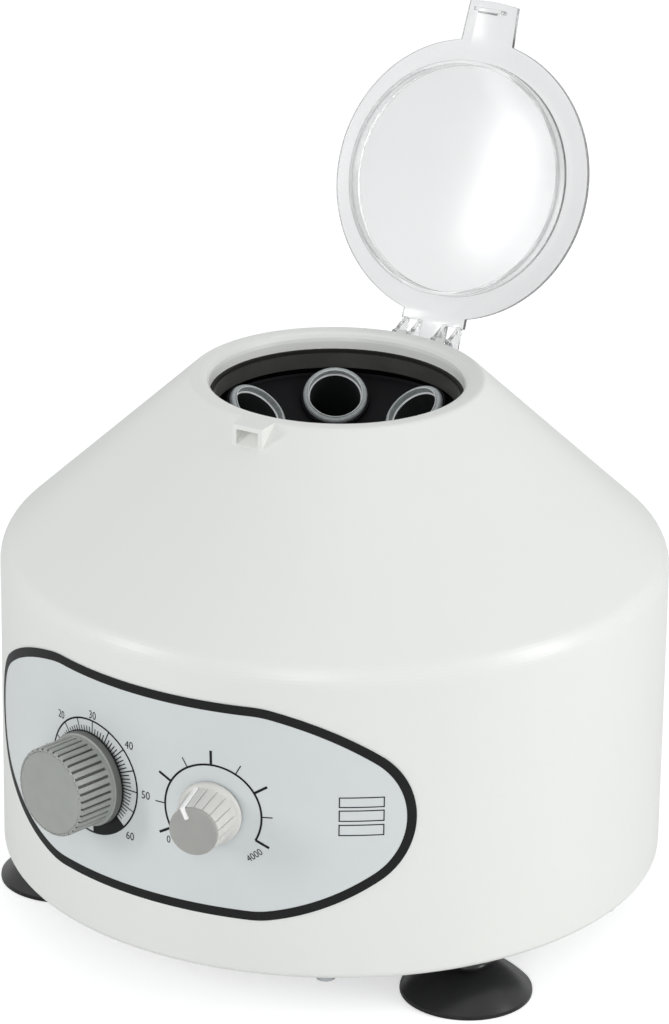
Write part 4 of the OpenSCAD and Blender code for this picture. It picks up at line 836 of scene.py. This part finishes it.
def lid_piece():
    """A copy of the node whose corners are rounded; the roundings have the edge's material, whose darker
    grey is painted shade.
    """
    source = NODES["lid"]
    mesh = source.data.copy()
    mesh.name = "lid_body"
    mesh.materials.clear()
    work = bmesh.new()
    work.from_mesh(mesh)
    work.transform(source.matrix_world)
    bmesh.ops.remove_doubles(work, verts=work.verts, dist=LID_MERGE * MM)
    bmesh.ops.dissolve_limit(work, angle_limit=math.radians(LID_FLAT_ANGLE), use_dissolve_boundaries=False,
                             verts=work.verts, edges=work.edges)
    corners = [edge for edge in work.edges if turning(edge, LID_CORNER_ANGLE)]
    bmesh.ops.bevel(work, geom=corners, offset=LID_ROUND * MM, offset_type="OFFSET", segments=2, profile=0.5,
                    # The roundings get the second material, a painted shade
                    affect="EDGES", clamp_overlap=True, material=1)
    bmesh.ops.recalc_face_normals(work, faces=work.faces)
    for face in work.faces:
        face.smooth = True
    keep_sharp(work, LID_SHARP_ANGLE)
    work.to_mesh(mesh)
    work.free()
    obj = add_object("lid_body", mesh, [M["lid"], M["lid_edge"]], "lid")
    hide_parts("lid")


lid_piece()


# ---- studio: pale floor, soft lamps and the camera

def math_node(tree, operation):
    node = tree.nodes.new("ShaderNodeMath")
    node.operation = operation
    return node


def background_mix(tree, plain, shown):
    """Camera, glossy and transmission rays see shown; all other rays see plain."""
    path = tree.nodes.new("ShaderNodeLightPath")
    first = math_node(tree, "MAXIMUM")
    link(tree, path, "Is Camera Ray", first, 0)
    link(tree, path, "Is Glossy Ray", first, 1)
    second = math_node(tree, "MAXIMUM")
    link(tree, first, 0, second, 0)
    link(tree, path, "Is Transmission Ray", second, 1)
    mix = tree.nodes.new("ShaderNodeMixShader")
    link(tree, second, 0, mix, 0)
    link(tree, plain, 0, mix, 1)
    link(tree, shown, 0, mix, 2)
    return mix


def make_world():
    world = bpy.data.worlds.new("studio")
    bpy.context.scene.world = world
    world.use_nodes = True
    tree = world.node_tree
    plain = tree.nodes["Background"]
    plain.inputs["Color"].default_value = (0.97, 0.985, 1.0, 1)
    plain.inputs["Strength"].default_value = WORLD_LIGHT
    shown = tree.nodes.new("ShaderNodeBackground")
    shown.inputs["Color"].default_value = (1, 1, 1, 1)
    shown.inputs["Strength"].default_value = WORLD_SHOWN
    mix = background_mix(tree, plain, shown)
    link(tree, mix, 0, tree.nodes["World Output"], "Surface")


def make_floor():
    """A matt floor that the camera sees a little brighter than the lamps make it."""
    mesh = bpy.data.meshes.new("floor")
    corners = [(x * FLOOR_HALF, y * FLOOR_HALF, 0) for x, y in ((-1, -1), (1, -1), (1, 1), (-1, 1))]
    mesh.from_pydata(corners, [], [[0, 1, 2, 3]])
    floor = bpy.data.objects.new("floor", mesh)
    bpy.context.scene.collection.objects.link(floor)
    mat = material("floor_white", (0.94, 0.94, 0.94), 0.9, 0.005, 2, 0.03)
    tree = mat.node_tree
    shader = tree.nodes["Principled BSDF"]
    shader.inputs["Specular IOR Level"].default_value = 0.0
    shader.inputs["Emission Color"].default_value = (1, 1, 1, 1)
    path = tree.nodes.new("ShaderNodeLightPath")
    seen = math_node(tree, "MAXIMUM")
    link(tree, path, "Is Camera Ray", seen, 0)
    link(tree, path, "Is Transmission Ray", seen, 1)
    glow = math_node(tree, "MULTIPLY")
    link(tree, seen, 0, glow, 0)
    glow.inputs[1].default_value = FLOOR_GLOW
    link(tree, glow, 0, shader, "Emission Strength")
    mesh.materials.append(mat)


def make_lamp(name, spot, aim, width, height, level):
    """A soft panel; level is the brightness it gives a white surface that faces it at the object."""
    data = bpy.data.lights.new(name, "AREA")
    data.shape = "RECTANGLE"
    data.size, data.size_y = width, height
    lamp = bpy.data.objects.new(name, data)
    lamp.location = spot
    way = Vector(aim) - Vector(spot)
    lamp.rotation_mode = "QUATERNION"
    lamp.rotation_quaternion = way.to_track_quat("-Z", "Y")
    data.energy = level * math.pi * math.pi * way.length_squared
    bpy.context.scene.collection.objects.link(lamp)


def make_camera():
    e, a = math.radians(CAMERA_ELEVATION), math.radians(CAMERA_AZIMUTH)
    back = Vector((math.sin(a) * math.cos(e), -math.cos(a) * math.cos(e), math.sin(e)))
    right = Vector((math.cos(a), math.sin(a), 0))
    up = back.cross(right)
    c, s = math.cos(math.radians(CAMERA_ROLL)), math.sin(math.radians(CAMERA_ROLL))
    turned_right, turned_up = right * c + up * s, up * c - right * s
    data = bpy.data.cameras.new("camera")
    data.sensor_width = SENSOR_MM
    data.sensor_fit = "AUTO"
    data.lens = FOCAL_PX / PICTURE_H_PX * SENSOR_MM
    data.shift_x, data.shift_y = SHIFT
    data.clip_start, data.clip_end = CLIP_NEAR, CLIP_FAR
    camera = bpy.data.objects.new("camera", data)
    turn = Matrix((turned_right, turned_up, back)).transposed().to_4x4()
    spot = (Vector((0, 0, CAMERA_MIDDLE_Z + FOOT_H)) + back * CAMERA_DISTANCE + right * CAMERA_SIDE) * MM
    camera.matrix_world = Matrix.Translation(spot) @ turn
    bpy.context.scene.collection.objects.link(camera)
    bpy.context.scene.camera = camera


make_world()
make_floor()
for lamp_name, settings in LAMPS.items():
    make_lamp(lamp_name, *settings)
make_camera()
bpy.context.scene.view_settings.view_transform = "Standard"
